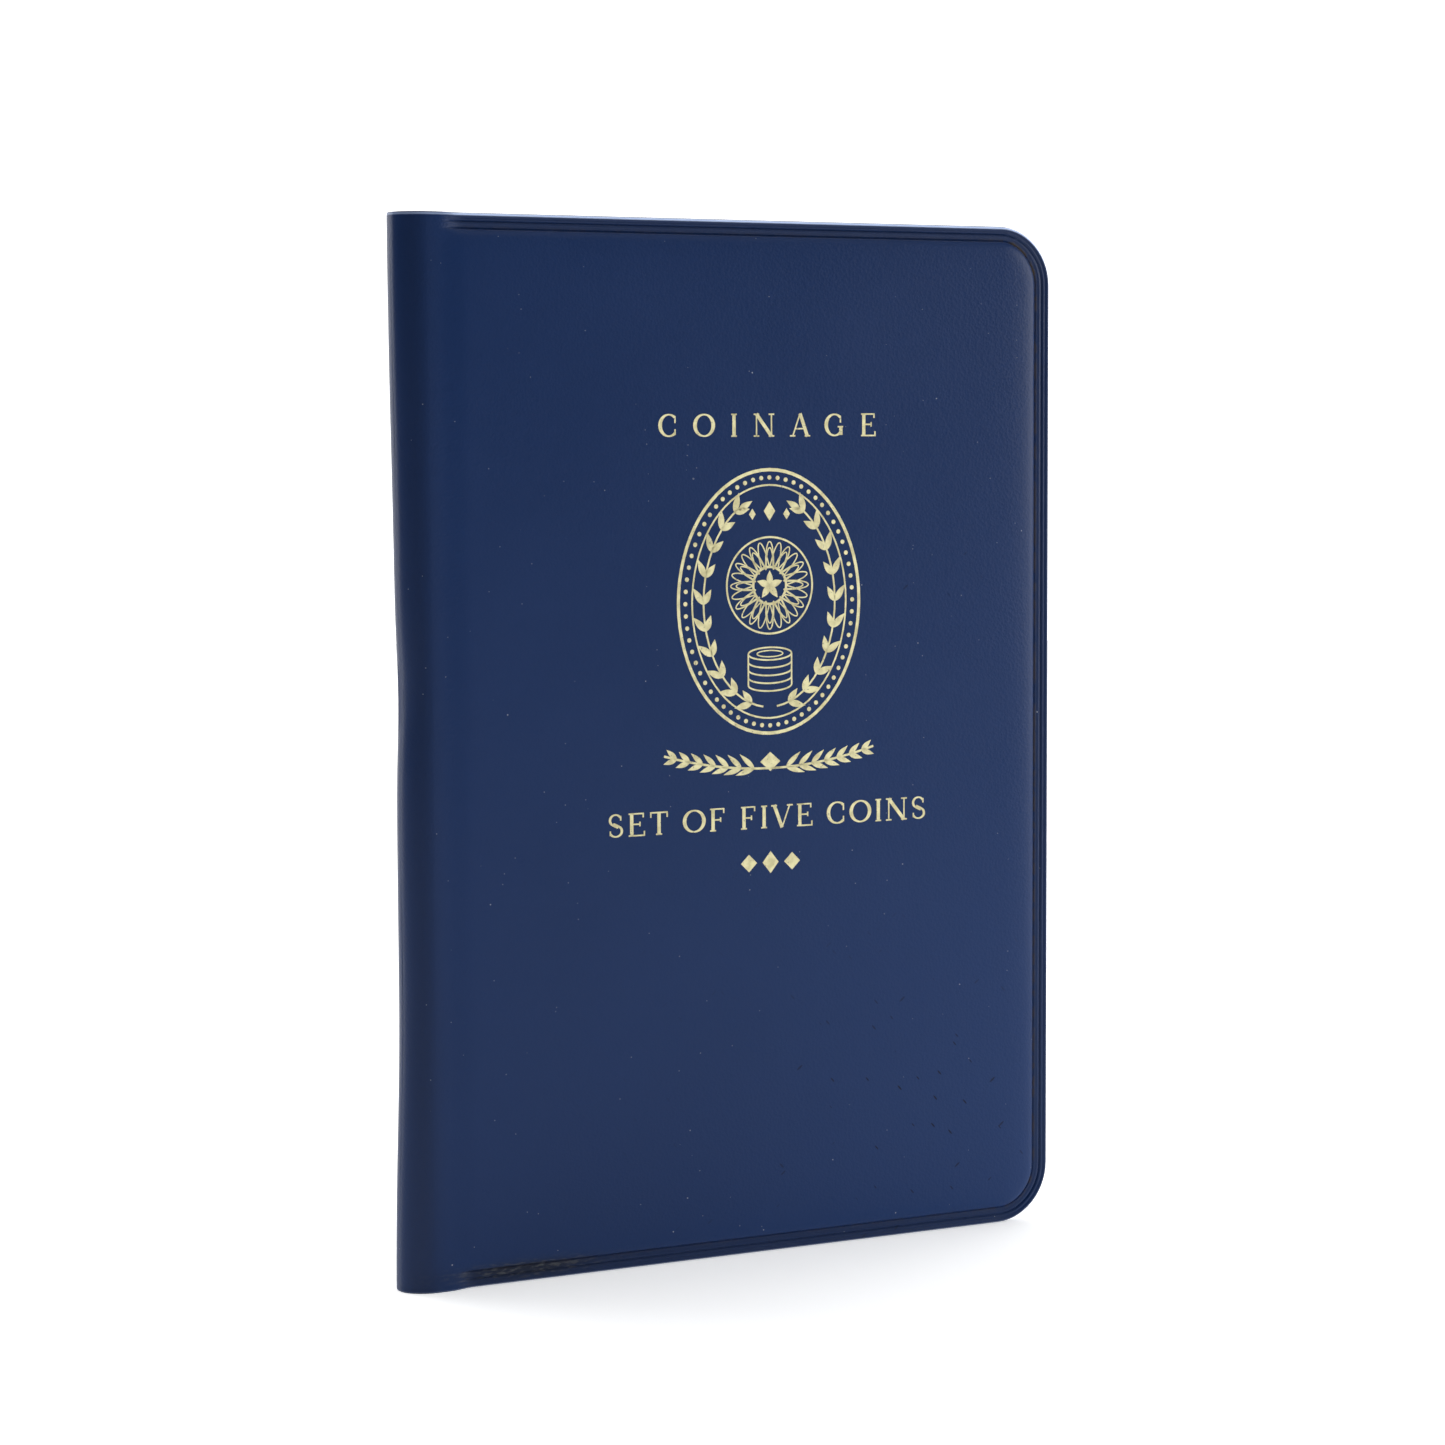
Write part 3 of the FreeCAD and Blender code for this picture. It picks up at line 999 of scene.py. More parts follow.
@dataclass(frozen=True)
class FoilFinish:
    """Hot-stamped pale gold foil: matt, faintly mottled, with small worn flecks."""

    name: str = "gold_foil"
    bright: Colour = colour(0.74, 0.69, 0.40)
    dull: Colour = colour(0.55, 0.50, 0.27)

    def material(self) -> bpy.types.Material:
        """Build the foil.

        Returns:
            The material.
        """
        tree = Tree(self.name)
        cloud = tree.noise(1.1 * MM, 4)
        worn = tree.noise(0.35 * MM, 3).above(0.64, 0.05)
        base = tree.mix(self.dull, self.bright, cloud.above(0.3, 0.35))
        base = tree.mix(base, colour(0.10, 0.11, 0.14), worn * 0.55)
        return tree.finish(Base_Color=base, Metallic=0.35, Roughness=cloud.between(0.42, 0.6),
                           Normal=tree.bumped(cloud, 0.01 * MM))


@dataclass(frozen=True)
class CoinFinish:
    """Struck metal, duller in its field and hollows than on its raised work."""

    name: str
    bright: Colour
    dull: Colour

    def material(self) -> bpy.types.Material:
        """Build the metal.

        Returns:
            The material.
        """
        tree = Tree(self.name)
        tone = tree.noise(5 * MM, 4)
        hollow = tree.mark("hollow")
        base = tree.mix(self.bright, self.dull, tone.above(0.45, 0.4) * 0.5 + hollow * 0.45)
        hairline = tree.noise(0.2 * MM, 2, tree.stretched((1.0, 1.0, 16.0), 0.4))
        return tree.finish(Base_Color=base, Metallic=1.0,
                           Roughness=tone.between(0.20, 0.32) + hollow * 0.12,
                           Normal=tree.bumped(hairline, 0.004 * MM, 0.6))


@dataclass(frozen=True)
class InkFinish:
    """Printing ink on card."""

    name: str
    tone: Colour

    def material(self) -> bpy.types.Material:
        """Build the ink.

        Returns:
            The material.
        """
        tree = Tree(self.name)
        speck = tree.noise(0.25 * MM, 3)
        base = tree.mix(self.tone, colour(*[c * 1.5 for c in self.tone[:3]]), speck.above(0.5, 0.3))
        return tree.finish(Base_Color=base, Roughness=speck.between(0.5, 0.62))


@dataclass(frozen=True)
class FloorFinish:
    """Plain white floor or lit backdrop."""

    name: str = "pale_floor"
    glow: float = 0.43

    def material(self) -> bpy.types.Material:
        """Build the floor.

        Returns:
            The material.
        """
        tree = Tree(self.name)
        white, pale = colour(1.0, 1.0, 1.0), colour(0.90, 0.905, 0.91)
        lit = tree.mix(colour(0.0, 0.0, 0.0), white, tree.mark("lit"))
        return tree.finish(Base_Color=pale, Roughness=0.85, Specular_IOR_Level=0.1,
                           Emission_Color=lit, Emission_Strength=self.glow)


MADE: dict[str, bpy.types.Material] = {}


def dress(piece: bpy.types.Object, finish: Any) -> bpy.types.Object:
    """Give a piece one finish, which is made the first time that it is asked for.

    Args:
        piece: the piece.
        finish: its finish.

    Returns:
        The same piece.
    """
    if finish.name not in MADE:
        MADE[finish.name] = finish.material()
    piece.data.materials.clear()
    piece.data.materials.append(MADE[finish.name])
    return piece


def settle(piece: bpy.types.Object, finish: Any, body: str, slot: str, *nodes: str) -> bpy.types.Object:
    """Dress a piece, put it on its body, and let it stand for CAD nodes.

    Args:
        piece: the piece.
        finish: its finish.
        body: the body that it moves with.
        slot: not used.
        nodes: the CAD nodes that it replaces.

    Returns:
        The same piece.
    """
    dress(piece, finish)
    if nodes:
        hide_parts(*nodes)
    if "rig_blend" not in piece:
        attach(piece, body)
    log.info("%s: %d faces on %s", piece.name, len(piece.data.polygons), body)
    return piece


VINYL = VinylFinish()
LINING = VinylFinish(name="lining_vinyl", shade=colour(0.012, 0.026, 0.085),
                     light=colour(0.017, 0.034, 0.105), roughness=0.36, worn=False)
NICKEL = CoinFinish("nickel_coin", colour(0.66, 0.65, 0.61), colour(0.30, 0.29, 0.27))
BRONZE = CoinFinish("bronze_coin", colour(0.62, 0.33, 0.17), colour(0.22, 0.09, 0.045))
SLIP = CardFinish("printed_card", colour(0.74, 0.70, 0.59), colour(0.60, 0.55, 0.43))
MOUNT = CardFinish("mount_card", colour(0.022, 0.044, 0.13), colour(0.012, 0.026, 0.085), 0.6)
NAVY_INK = InkFinish("navy_ink", colour(0.02, 0.035, 0.12))


# ---- covers ----------------------------------------------------------------------
@dataclass
class Cover:
    """One padded cover: welded skin with its half of the spine, foam, board and lining."""

    side: Side
    corner: float = 8.0 * MM
    weld: float = 2.3 * MM
    weld_sink: float = 0.52 * MM
    crown: float = 0.38 * MM
    sheet: float = 0.4 * MM
    wave: float = 0.05 * MM
    bow: float = 0.5 * MM
    # The seam's section, in millimetres: height, place and half width of each bead and groove.
    beads: Sequence[tuple[float, float, float]] = (
        (0.15, 0.42, 0.25), (0.07, 0.93, 0.12), (0.05, 1.58, 0.16),
        (-0.14, 1.22, 0.08), (-0.13, 2.2, 0.09))
    lip: float = 0.34
    lip_drop: float = 0.42
    pad_start: float = 2.25
    pad_top: float = 2.42
    pad_low: float = -0.32
    pad_rise: float = 0.18

    def __post_init__(self) -> None:
        """Read the cover's sizes from the frame, laid back into the closed album."""
        word = self.side.word
        self.body = f"{word}_cover"
        self.fold = Fold.of(f"{word}_cover_fold")
        low, high = self.fold.closed_box(f"{word}_cover_skin")
        lining_low, lining_high = self.fold.closed_box(f"{word}_lining")
        self.half = max(abs(low.y), abs(high.y))
        self.spine_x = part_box("spine_strip")[0].x
        self.free_x, self.head = high.x, high.z
        self.weld_start = lining_low.x
        lining_y = sorted((abs(lining_low.y), abs(lining_high.y)))
        self.thickness = self.half - lining_y[0]
        self.core = self.half - lining_y[1]
        self.radius = (self.fold.x - self.spine_x) / (1 - math.cos(math.radians(45)))
        self.flat = self.half - self.radius
        self.bend_end = self.spine_x + self.radius
        self.start = self.bend_end - self.flat - self.radius * math.pi / 2
        self.seed = 3.7 if self.side is Side.FRONT else 11.2

    # places
    def place(self, x: float, z: float, height: float) -> Vector:
        """Point over the flat of the cover, in the rest pose; height is outwards from its face."""
        return self.fold.opened(Vector((x, self.side.value * (self.half + height), z)))

    def wrapped(self, x: float, z: float, height: float) -> Vector:
        """Point of the skin, which runs on from the flat round the bend to the spine's middle.

        Args:
            x: place along the skin, measured as if it lay flat with the cover.
            z: height above the foot.
            height: distance out from the skin's face.

        Returns:
            The point in the rest pose.
        """
        along = x - self.start
        bend = self.radius * math.pi / 2
        if along >= self.flat + bend:
            px, py, nx, ny = x, self.half, 0.0, 1.0
        elif along <= self.flat:
            px, py, nx, ny = self.spine_x, along, -1.0, 0.0
        else:
            turn = (along - self.flat) / self.radius
            nx, ny = -math.cos(turn), math.sin(turn)
            px = self.bend_end + self.radius * nx
            py = self.flat + self.radius * ny
        soft = 1 - smooth(0, self.flat + bend + 3 * MM, along)
        px -= self.lean(z) * soft
        share = smooth(self.flat, self.flat + bend, along)
        point = Vector((px + nx * height, self.side.value * (py + ny * height), z))
        return self.fold.opened(point, share)

    def lean(self, z: float) -> float:
        """How far the soft spine stands out: it is bumped in a little over half way up.

        Args:
            z: height above the foot.

        Returns:
            The distance.
        """
        share = z / self.head
        ends = smooth(0.65, 0.97, share) + 2 * (1 - smooth(0, 0.28, share))
        return self.bow * (ends - 0.9 * bump(share, 0.555, 0.06))

    # heights
    def seamed(self, x: float) -> float:
        """How fully the edge seam is pressed, from nothing beside the spine."""
        return smooth(self.weld_start - 2.4 * MM, self.weld_start + 1.4 * MM, x)

    def across(self, x: float, z: float, inset: float) -> float:
        """Place across the seam, which is pressed narrower along the head and wider down the free edge.

        Args:
            x: place along the cover.
            z: height above the foot.
            inset: distance in from the edge.

        Returns:
            The place across the seam.
        """
        side = smooth(self.free_x - self.corner, self.free_x - 0.3 * self.corner, x)
        top = smooth(self.head - self.corner, self.head - 0.3 * self.corner, z) * (1 - side)
        return inset * (1 + 0.10 * top - 0.09 * side)

    def pressed(self, inset: float) -> float:
        """Height of the welded border: lip, bead, tool groove, band, groove and crowned pad.

        Args:
            inset: place across the seam.

        Returns:
            The height over the cover's face.
        """
        place = inset / MM
        band = -self.weld_sink / MM + sum(tall * bump(place, at, wide) for tall, at, wide in self.beads)
        if place < self.lip:
            band -= self.lip_drop * (1 - math.sqrt(max(0.0, 1 - (1 - place / self.lip) ** 2)))
        beyond = max(0.0, place - (self.pad_start + 0.1))
        pad = self.pad_low + self.pad_rise * (1 - math.exp(-beyond / 0.4))
        pad += self.crown / MM * (1 - math.exp(-beyond / 1.8))
        return mixed(band, pad, smooth(self.pad_start, self.pad_top, place)) * MM

    def face(self, x: float, z: float, inset: float) -> float:
        """Height of the skin's outer face.

        Args:
            x: place along the cover.
            z: height above the foot.
            inset: distance in from the edge.

        Returns:
            The height over the cover's face.
        """
        cut = -0.10 * MM * math.exp(-inset / (0.10 * MM))
        edge = mixed(cut, self.pressed(self.across(x, z, inset)), self.seamed(x))
        inner = smooth(2.5 * MM, 9 * MM, inset)
        wave = ripple(x, z, 34 * MM, self.seed) + 0.35 * ripple(x, z, 11 * MM, self.seed + 5)
        return edge + self.wave * wave * inner

    def under(self, x: float, z: float, inset: float) -> float:
        """Height of the skin's inner face: against the lining in the seam, thin elsewhere.

        Args:
            x: place along the cover.
            z: height above the foot.
            inset: distance in from the edge.

        Returns:
            The height over the cover's face.
        """
        border = smooth(self.weld_start - 0.5 * MM, self.weld_start + 3.5 * MM, x)
        border *= 1 - smooth(self.weld, self.weld + 0.5 * MM, inset)
        return mixed(self.face(x, z, inset) - self.sheet, -self.core, border)

    def height(self, x: float, z: float) -> float:
        """Height of the outer face where the seam is far."""
        inset = min(z, self.head - z, self.free_x - x)
        return self.face(x, z, inset)

    # grids
    def grid(self, start: float, columns: Sequence[float]) -> Outline:
        """Grid over the cover from start to the free edge, fine across the seam.

        Args:
            start: where it starts.
            columns: places between there and the round corner.

        Returns:
            The grid.
        """
        insets = merged(spread(0, 0.4 * MM, 7), spread(0.4 * MM, 2.5 * MM, 30),
                        spread(2.5 * MM, 4.9 * MM, 10), spread(4.9 * MM, self.corner, 4))
        rows = spread(self.corner, self.head - self.corner, 100)
        return Outline((start, 0.0), (self.free_x, self.head), self.corner, columns, rows, insets)

    def sunk(self, x: float, z: float, inset: float) -> float:
        """The pressed band of the seam, as far as its inner groove."""
        inner = self.across(x, z, inset)
        return self.seamed(x) * (1 - smooth(self.weld - 0.2 * MM, self.weld + 0.05 * MM, inner))

    def smudged(self, x: float, z: float, inset: float) -> float:
        """Dust pressed into the foot of the seam, near the spine."""
        foot = bump(x, self.weld_start + 9 * MM, 8.5 * MM) * bump(z, 1.8 * MM, 0.95 * MM)
        return min(1.0, foot * 1.3)

    def stained(self, x: float, z: float, inset: float) -> float:
        """Brown grime along the inner edge of the seam, thickest at the upper free corner.

        Args:
            x: place along the cover.
            z: height above the foot.
            inset: distance in from the edge.

        Returns:
            The share, 0 to 1.
        """
        groove = bump(self.across(x, z, inset), 2.15 * MM, 0.24 * MM) * self.seamed(x)
        side = smooth(0.72, 0.97, x / self.free_x)
        turn = bump(x, self.free_x - 5 * MM, 4 * MM) * bump(z, self.head - 5 * MM, 5 * MM)
        return min(1.0, groove * (0.12 + 0.45 * side + 0.6 * turn))

    def handled(self, x: float, z: float, inset: float) -> float:
        """Painted shade along the front of the spine's bend, where its face turns towards the camera."""
        return bump(x, self.bend_end - 1.6 * MM, 2.2 * MM)

    def lipped(self, x: float, z: float, inset: float) -> float:
        """Painted highlight: a thin pale line just inside the rim, where the rounded lip catches light:
        widest at the head.

        Args:
            x: place along the cover.
            z: height above the foot.
            inset: distance in from the edge.

        Returns:
            The share, 0 to 1.
        """
        top = smooth(self.head - 9 * MM, self.head - 2 * MM, z)
        reach = mixed(0.20, 0.38, top) * MM
        thin = smooth(0.05 * MM, 0.15 * MM, inset) * (1 - smooth(reach * 0.8, reach * 1.15, inset))
        return thin * mixed(0.4, 1.0, self.seamed(x)) * mixed(0.35, 1.0, top)

    def rubbed(self, x: float, z: float, inset: float) -> float:
        """Where the vinyl is scuffed: mostly the lower free quarter.

        Args:
            x: place along the cover.
            z: height above the foot.
            inset: distance in from the edge.

        Returns:
            The share, 0 to 1.
        """
        low = bump(x, self.free_x - 24 * MM, 26 * MM) * bump(z, 18 * MM, 18 * MM)
        middle = 0.5 * bump(x, self.free_x - 20 * MM, 9 * MM) * bump(z, 92 * MM, 7 * MM)
        return min(1.0, 0.04 + low + middle)

    def faded(self, x: float, z: float, inset: float) -> float:
        """Painted light: the vinyl is paler towards the foot and the free edge, where more light falls."""
        return (1 - z / self.head) * mixed(0.2, 1.0, smooth(self.bend_end, self.free_x, x))

    def build_skin(self) -> None:
        """Skin from the spine's middle to the free edge, bending at the fold."""
        columns = merged(spread(self.start, self.weld_start - 2.6 * MM, 30),
                         spread(self.weld_start - 2.6 * MM, self.weld_start + 3.6 * MM, 16),
                         spread(self.weld_start + 3.6 * MM, self.free_x - self.corner, 66))
        marks = {
            "seam": self.sunk,
            "smudge": self.smudged,
            "stain": self.stained,
            # lip: painted highlight along the rim
            "lip": self.lipped,
            # painted shade along the spine's bend
            "hand": self.handled,
            "rubbed": self.rubbed,
            # painted light, paler towards the foot and the free edge
            "faded": self.faded,
        }
        name = f"{self.side.word}_cover_skin"
        skin = self.grid(self.start, columns).shell(
            f"{self.side.word}_skin", self.face, self.under, self.wrapped,
            self.side is Side.BACK, marks)
        nodes = [name, "spine_strip"] if self.side is Side.FRONT else [name]
        cover_end = self.wrapped(self.bend_end + 0.8 * MM, 0, 0)
        spine_end = self.wrapped(self.start + 0.6 * self.flat, 0, 0)
        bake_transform(skin, self.body, "spine", start=cover_end, end=spine_end)
        settle(skin, VINYL, self.body, "cover_vinyl", *nodes)

    def build_padding(self) -> None:
        """Foam sheet that crowns the skin, thin at its edges."""
        node = f"{self.side.word}_padding"
        low, high = self.fold.closed_box(node)
        outer = max(abs(low.y), abs(high.y)) - self.half
        inner = min(abs(low.y), abs(high.y)) - self.half
        columns = spread(low.x, high.x, 40)
        rows = spread(low.z, high.z, 60)
        corner = self.corner - (self.free_x - high.x)
        grid = Outline((low.x, low.z), (high.x, high.z), corner, columns, rows,
                       spread(0, 2 * MM, 6), near_seam=True)

        def top(x: float, z: float, inset: float) -> float:
            """Foam face, held just under the skin.

            Args:
                x: place along the cover.
                z: height above the foot.
                inset: distance in from the edge.

            Returns:
                The height over the cover's face.
            """
            full = max(outer, self.height(x, z) - self.sheet - 0.03 * MM)
            return mixed(inner + 0.08 * MM, min(full, self.height(x, z) - 0.1 * MM),
                         smooth(0, 1.2 * MM, inset))

        foam = grid.shell(f"{self.side.word}_foam", top, lambda x, z, i: inner, self.place,
                          self.side is Side.BACK)
        settle(foam, FoamFinish(), self.body, "foam_padding", node)

    def build_lining(self) -> None:
        """Inner sheet with the seam pressed into it."""
        node = f"{self.side.word}_lining"

        def inner(x: float, z: float, inset: float) -> float:
            """Inner face of the lining.

            Args:
                x: place along the cover.
                z: height above the foot.
                inset: distance in from the edge.

            Returns:
                The height over the cover's face.
            """
            t = inset / MM
            dip = 0.10 * (1 - smooth(self.weld / MM, 2.9, t)) - 0.05 * bump(t, 0.45, 0.25)
            if t < 0.25:
                dip += 0.08 * (1 - t / 0.25)
            wave = 0.03 * ripple(x, z, 26 * MM, self.seed + 2) * smooth(3, 9, t)
            return -self.thickness + (dip + wave) * MM

        columns = spread(self.weld_start, self.free_x, 60)
        lining = self.grid(self.weld_start, columns).shell(
            f"{self.side.word}_inner_sheet", lambda x, z, i: -self.core, inner, self.place,
            self.side is Side.BACK)
        settle(lining, LINING, self.body, "lining_vinyl", node)

    def build(self) -> None:
        """Make every piece of the cover."""
        self.build_skin()
        self.build_padding()
        self.build_lining()
        board = frame["nodes"][f"{self.side.word}_board"]
        dress(board, BoardFinish())


# ---- stamping on the front cover ---------------------------------------------------
@dataclass
class Stamping:
    """Foil blocked on the front cover: a word, an oval medallion, sprays and a line of text."""

    cover: Cover
    middle_x: float = 0.0
    middle_z: float = 0.0
    lift: float = 0.018 * MM
    ring: Point = (14.0, 18.0)
    heading_z: float = 42.7
    oval_z: float = 19.0
    spray_z: float = -2.6
    title_z: float = -10.1
    lozenge_z: float = -16.3
    capital: float = 3.1
    letters: Lettering = field(default_factory=Lettering)

    def __post_init__(self) -> None:
        """Centre the work on the frame's own foil."""
        low, high = self.cover.fold.closed_box("cover_foil")
        self.middle_x = (low.x + high.x) / 2
        self.middle_z = self.cover.head / 2

    def medallion(self) -> list[Ribbon]:
        """Oval of lines and beads round a rosette, two branches and a stack of coins.

        Returns:
            The strokes.
        """
        z = self.oval_z
        rx, rz = self.ring
        work = [oval(0, z, rx - 0.25, rz - 0.25, 0.45), oval(0, z, rx - 2.3, rz - 2.3, 0.24)]
        beads = 64
        for index in range(beads):
            turn = 2 * math.pi * index / beads
            work.append(disc((rx - 1.3) * math.cos(turn), z + (rz - 1.3) * math.sin(turn), 0.3, 8))
        work += self.rosette(0, z + 2.2)
        for mirror in (False, True):
            work += self.branch(0, z, rx - 4.0, rz - 3.8, mirror)
        work += self.stack(0, z - 11.2)
        work.append(lozenge(0, z + 12.2, 1.7, 2.6))
        for side in (-1, 1):
            work.append(lozenge(side * 2.6, z + 11.8, 1.0, 1.5))
        return work

    def stack(self, x: float, z: float) -> list[Ribbon]:
        """Four coins in a pile, seen a little from above.

        Args:
            x: place of the middle.
            z: height of the lowest coin.

        Returns:
            The strokes.
        """
        rx, rz, step = 3.3, 0.85, 1.05
        work = [oval(x, z + 4 * step, rx, rz, 0.22, 40),
                oval(x, z + 4 * step, rx * 0.6, rz * 0.5, 0.16, 30)]
        for level in range(4):
            work.append(arc(x, z + level * step, rx, rz, 180, 360, 0.22, steps=24))
        for side in (-1, 1):
            work.append(line(x + side * rx, z, x + side * rx, z + 4 * step, 0.22))
        return work

    def rosette(self, x: float, z: float) -> list[Ribbon]:
        """Turned-line rosette round a small coin with a star.

        Args:
            x: place of the middle.
            z: height of the middle.

        Returns:
            The strokes.
        """
        loops, reach = 12, 5.9
        path = []
        steps = 660
        for step in range(steps):
            turn = 2 * math.pi * step / steps
            radius = reach * (0.72 + 0.28 * math.cos(loops * turn))
            path.append((x + radius * math.cos(turn), z + radius * math.sin(turn)))
        inner = [(x + (px - x) * 0.86, z + (pz - z) * 0.86) for px, pz in path]
        turned = []
        for step in range(steps):
            turn = 2 * math.pi * step / steps
            radius = reach * (0.72 - 0.28 * math.cos(loops * turn))
            turned.append((x + radius * math.cos(turn), z + radius * math.sin(turn)))
        work = [Ribbon(p, [0.17] * steps, True) for p in (path, inner, turned)]
        work += [oval(x, z, 2.5, 2.5, 0.34, 48), oval(x, z, 6.5, 6.5, 0.26, 72)]
        for point in range(5):
            work.append(leaf(x, z, 90 + 72 * point, 2.0, 0.95))
        return work

    def branch(self, x: float, z: float, rx: float, rz: float, mirror: bool) -> list[Ribbon]:
        """Leafy branch that climbs one side of the oval from its foot.

        Args:
            x: place of the oval's middle.
            z: height of the oval's middle.
            rx: half width of the stem's oval.
            rz: half height of the stem's oval.
            mirror: whether it climbs the left side.

        Returns:
            The strokes.
        """
        sign = -1 if mirror else 1
        work = []
        stem = arc(0, 0, rx, rz, -84, 62, 0.26, steps=24)
        work.append(stem.moved(x, z, mirror=mirror))
        pairs = 10
        for index in range(pairs):
            degrees = mixed(-74, 58, index / (pairs - 1))
            turn = math.radians(degrees)
            px, pz = rx * math.cos(turn), rz * math.sin(turn)
            ahead = math.degrees(math.atan2(rz * math.cos(turn), -rx * math.sin(turn)))
            for lean in (-34, 30):
                blade = leaf(0, 0, ahead + lean, 2.7 if lean < 0 else 2.3, 0.95)
                work.append(blade.moved(x + sign * px, z + pz, mirror=mirror))
        work.append(leaf(0, 0, 150, 2.4, 0.9).moved(x + sign * rx * 0.47, z + rz * 0.87, mirror=mirror))
        return work

    def sprays(self) -> list[Ribbon]:
        """Two crossed sprays under the medallion, tied by a lozenge.

        Returns:
            The strokes.
        """
        z = self.spray_z
        work = [lozenge(0, z, 3.0, 2.6)]
        for mirror in (False, True):
            sign = -1 if mirror else 1
            stem = [(s, 2.3 * (s / 16) ** 2) for s in spread(-1.5, 16, 20)]
            work.append(Ribbon([(sign * px, z - 0.9 + pz) for px, pz in stem], [0.3] * len(stem)))
            for index in range(7):
                at = 2.4 + index * 1.95
                level = z - 0.9 + 2.3 * (at / 16) ** 2
                for degrees in (34, -24):
                    size = 3.0 - 0.16 * index
                    work.append(leaf(0, 0, degrees + 8, size, 0.72).moved(sign * at, level, mirror=mirror))
        return work

    def build(self) -> None:
        """Stamp the foil onto the skin."""
        def on_cover(x: float, z: float, height: float) -> Vector:
            """Point over the skin, from the middle of the stamping."""
            px, pz = self.middle_x + x, self.middle_z + z
            return self.cover.place(px, pz, self.cover.height(px, pz) + height)

        work = self.letters.word("COINAGE", 0, self.heading_z, self.capital, 33.2, wide=1.22)
        work += self.medallion() + self.sprays()
        work += self.letters.word("SET OF FIVE COINS", 0, self.title_z, self.capital, 48.9, wide=1.30)
        for place in (-1, 0, 1):
            work.append(lozenge(place * 3.3, self.lozenge_z, 2.4, 2.4 if place else 3.0))
        foil = drawn_object("foil_stamping", work, on_cover, self.lift, self.lift)
        settle(foil, FoilFinish(), "front_cover", "gold_foil", "cover_foil")


# ---- pocket and slip card ------------------------------------------------------------
@dataclass
class Pocket:
    """Clear pocket on the front lining, with its printed card."""

    cover: Cover
    film: float = 0.2 * MM
    seam: float = 1.5 * MM
    outline_x: float = -18.0
    row_drop: float = 17.5
    letters: Lettering = field(default_factory=Lettering)

    def build_film(self) -> None:
        """Clear film, pressed to the lining on three edges and loose at its mouth."""
        low, high = self.cover.fold.closed_box("front_pocket")
        depth = abs(high.y - low.y)
        lining = -self.cover.thickness
        grid = Outline((low.x, low.z), (high.x, high.z), 1.5 * MM, spread(low.x, high.x, 50),
                       spread(low.z, high.z, 60), spread(0, 1.5 * MM, 8), near_seam=True, open_top=True)

        def outer(x: float, z: float, inset: float) -> float:
            """Face of the film towards the middle of the album.

            Args:
                x: place along the cover.
                z: height above the foot.
                inset: distance in from the edge.

            Returns:
                The height over the cover's face.
            """
            rise = smooth(self.seam * 0.8, self.seam * 1.25, inset)
            bead = 0.05 * MM * bump(inset, 0.35 * MM, 0.2 * MM)
            swell = 0.02 * MM * ripple(x, z, 30 * MM, 4.0)
            return lining - mixed(self.film * 1.1, depth - 0.03 * MM, rise) - bead - swell * rise

        marks = {"seam": lambda x, z, i: 1 - smooth(self.seam * 0.8, self.seam * 1.1, i)}
        film = grid.shell("pocket_film", lambda x, z, i: outer(x, z, i) + self.film * 0.9, outer,
                          self.cover.place, marks=marks)
        settle(film, FilmFinish(), "front_cover", "clear_film", "front_pocket")

    def build_card(self) -> None:
        """Card in the pocket, printed with the outline and value of each coin."""
        low, high = self.cover.fold.closed_box("slip_card")
        grid = Outline((low.x, low.z), (high.x, high.z), 1.2 * MM, spread(low.x, high.x, 24),
                       spread(low.z, high.z, 36), [0.0, 0.1 * MM, 0.6 * MM])
        outer = abs(low.y) - self.cover.half
        inner = abs(high.y) - self.cover.half
        card = grid.shell("slip_in_card", lambda x, z, i: outer, lambda x, z, i: inner,
                          self.cover.place)
        settle(card, SLIP, "card", "printed_card", "slip_card")

        middle = ((low.x + high.x) / 2, (low.z + high.z) / 2)

        def on_card(x: float, z: float, height: float) -> Vector:
            """Point on the card's printed face."""
            return self.cover.place(middle[0] - x, middle[1] + z, inner - height)

        width, tall = (high.x - low.x) / MM, (high.z - low.z) / MM
        ink = drawn_object("card_printing", self.printing(width, tall), on_card, 0.012 * MM, 0.01 * MM)
        settle(ink, NAVY_INK, "card", "printed_card")

    def printing(self, width: float, tall: float) -> list[Ribbon]:
        """Border, heading ornament, coin outlines with their values, and ruled lines.

        Args:
            width: width of the card.
            tall: height of the card.

        Returns:
            The strokes.
        """
        work = []
        for margin, weight in ((3.0, 0.5), (4.0, 0.18)):
            x, z = width / 2 - margin, tall / 2 - margin
            corners = [(-x, -z), (x, -z), (x, z), (-x, z), (-x, -z)]
            work += [line(*a, *b, weight) for a, b in zip(corners, corners[1:])]
        top = tall / 2 - 12
        work += [lozenge(0, top, 4, 3), line(-24, top, -4, top, 0.3), line(4, top, 24, top, 0.3)]
        rows = [("50", 15.25), ("25", 12.15), ("5", 10.6), ("1", 9.5), ("10", 8.95)]
        level = top - 11
        for value, radius in rows:
            size = radius * 0.55
            work += [oval(self.outline_x, level, size, size, 0.3, 48)]
            work += [oval(self.outline_x, level, size - 0.7, size - 0.7, 0.14, 48)]
            work += self.letters.word(value, self.outline_x, level, 3.4)
            work += [line(-4, level + shift, end, level + shift, 0.22)
                     for shift, end in ((2.6, 28), (0.4, 28), (-1.8, 17))]
            level -= self.row_drop
        return work

    def build(self) -> None:
        """Make the pocket and its card."""
        self.build_film()
        self.build_card()


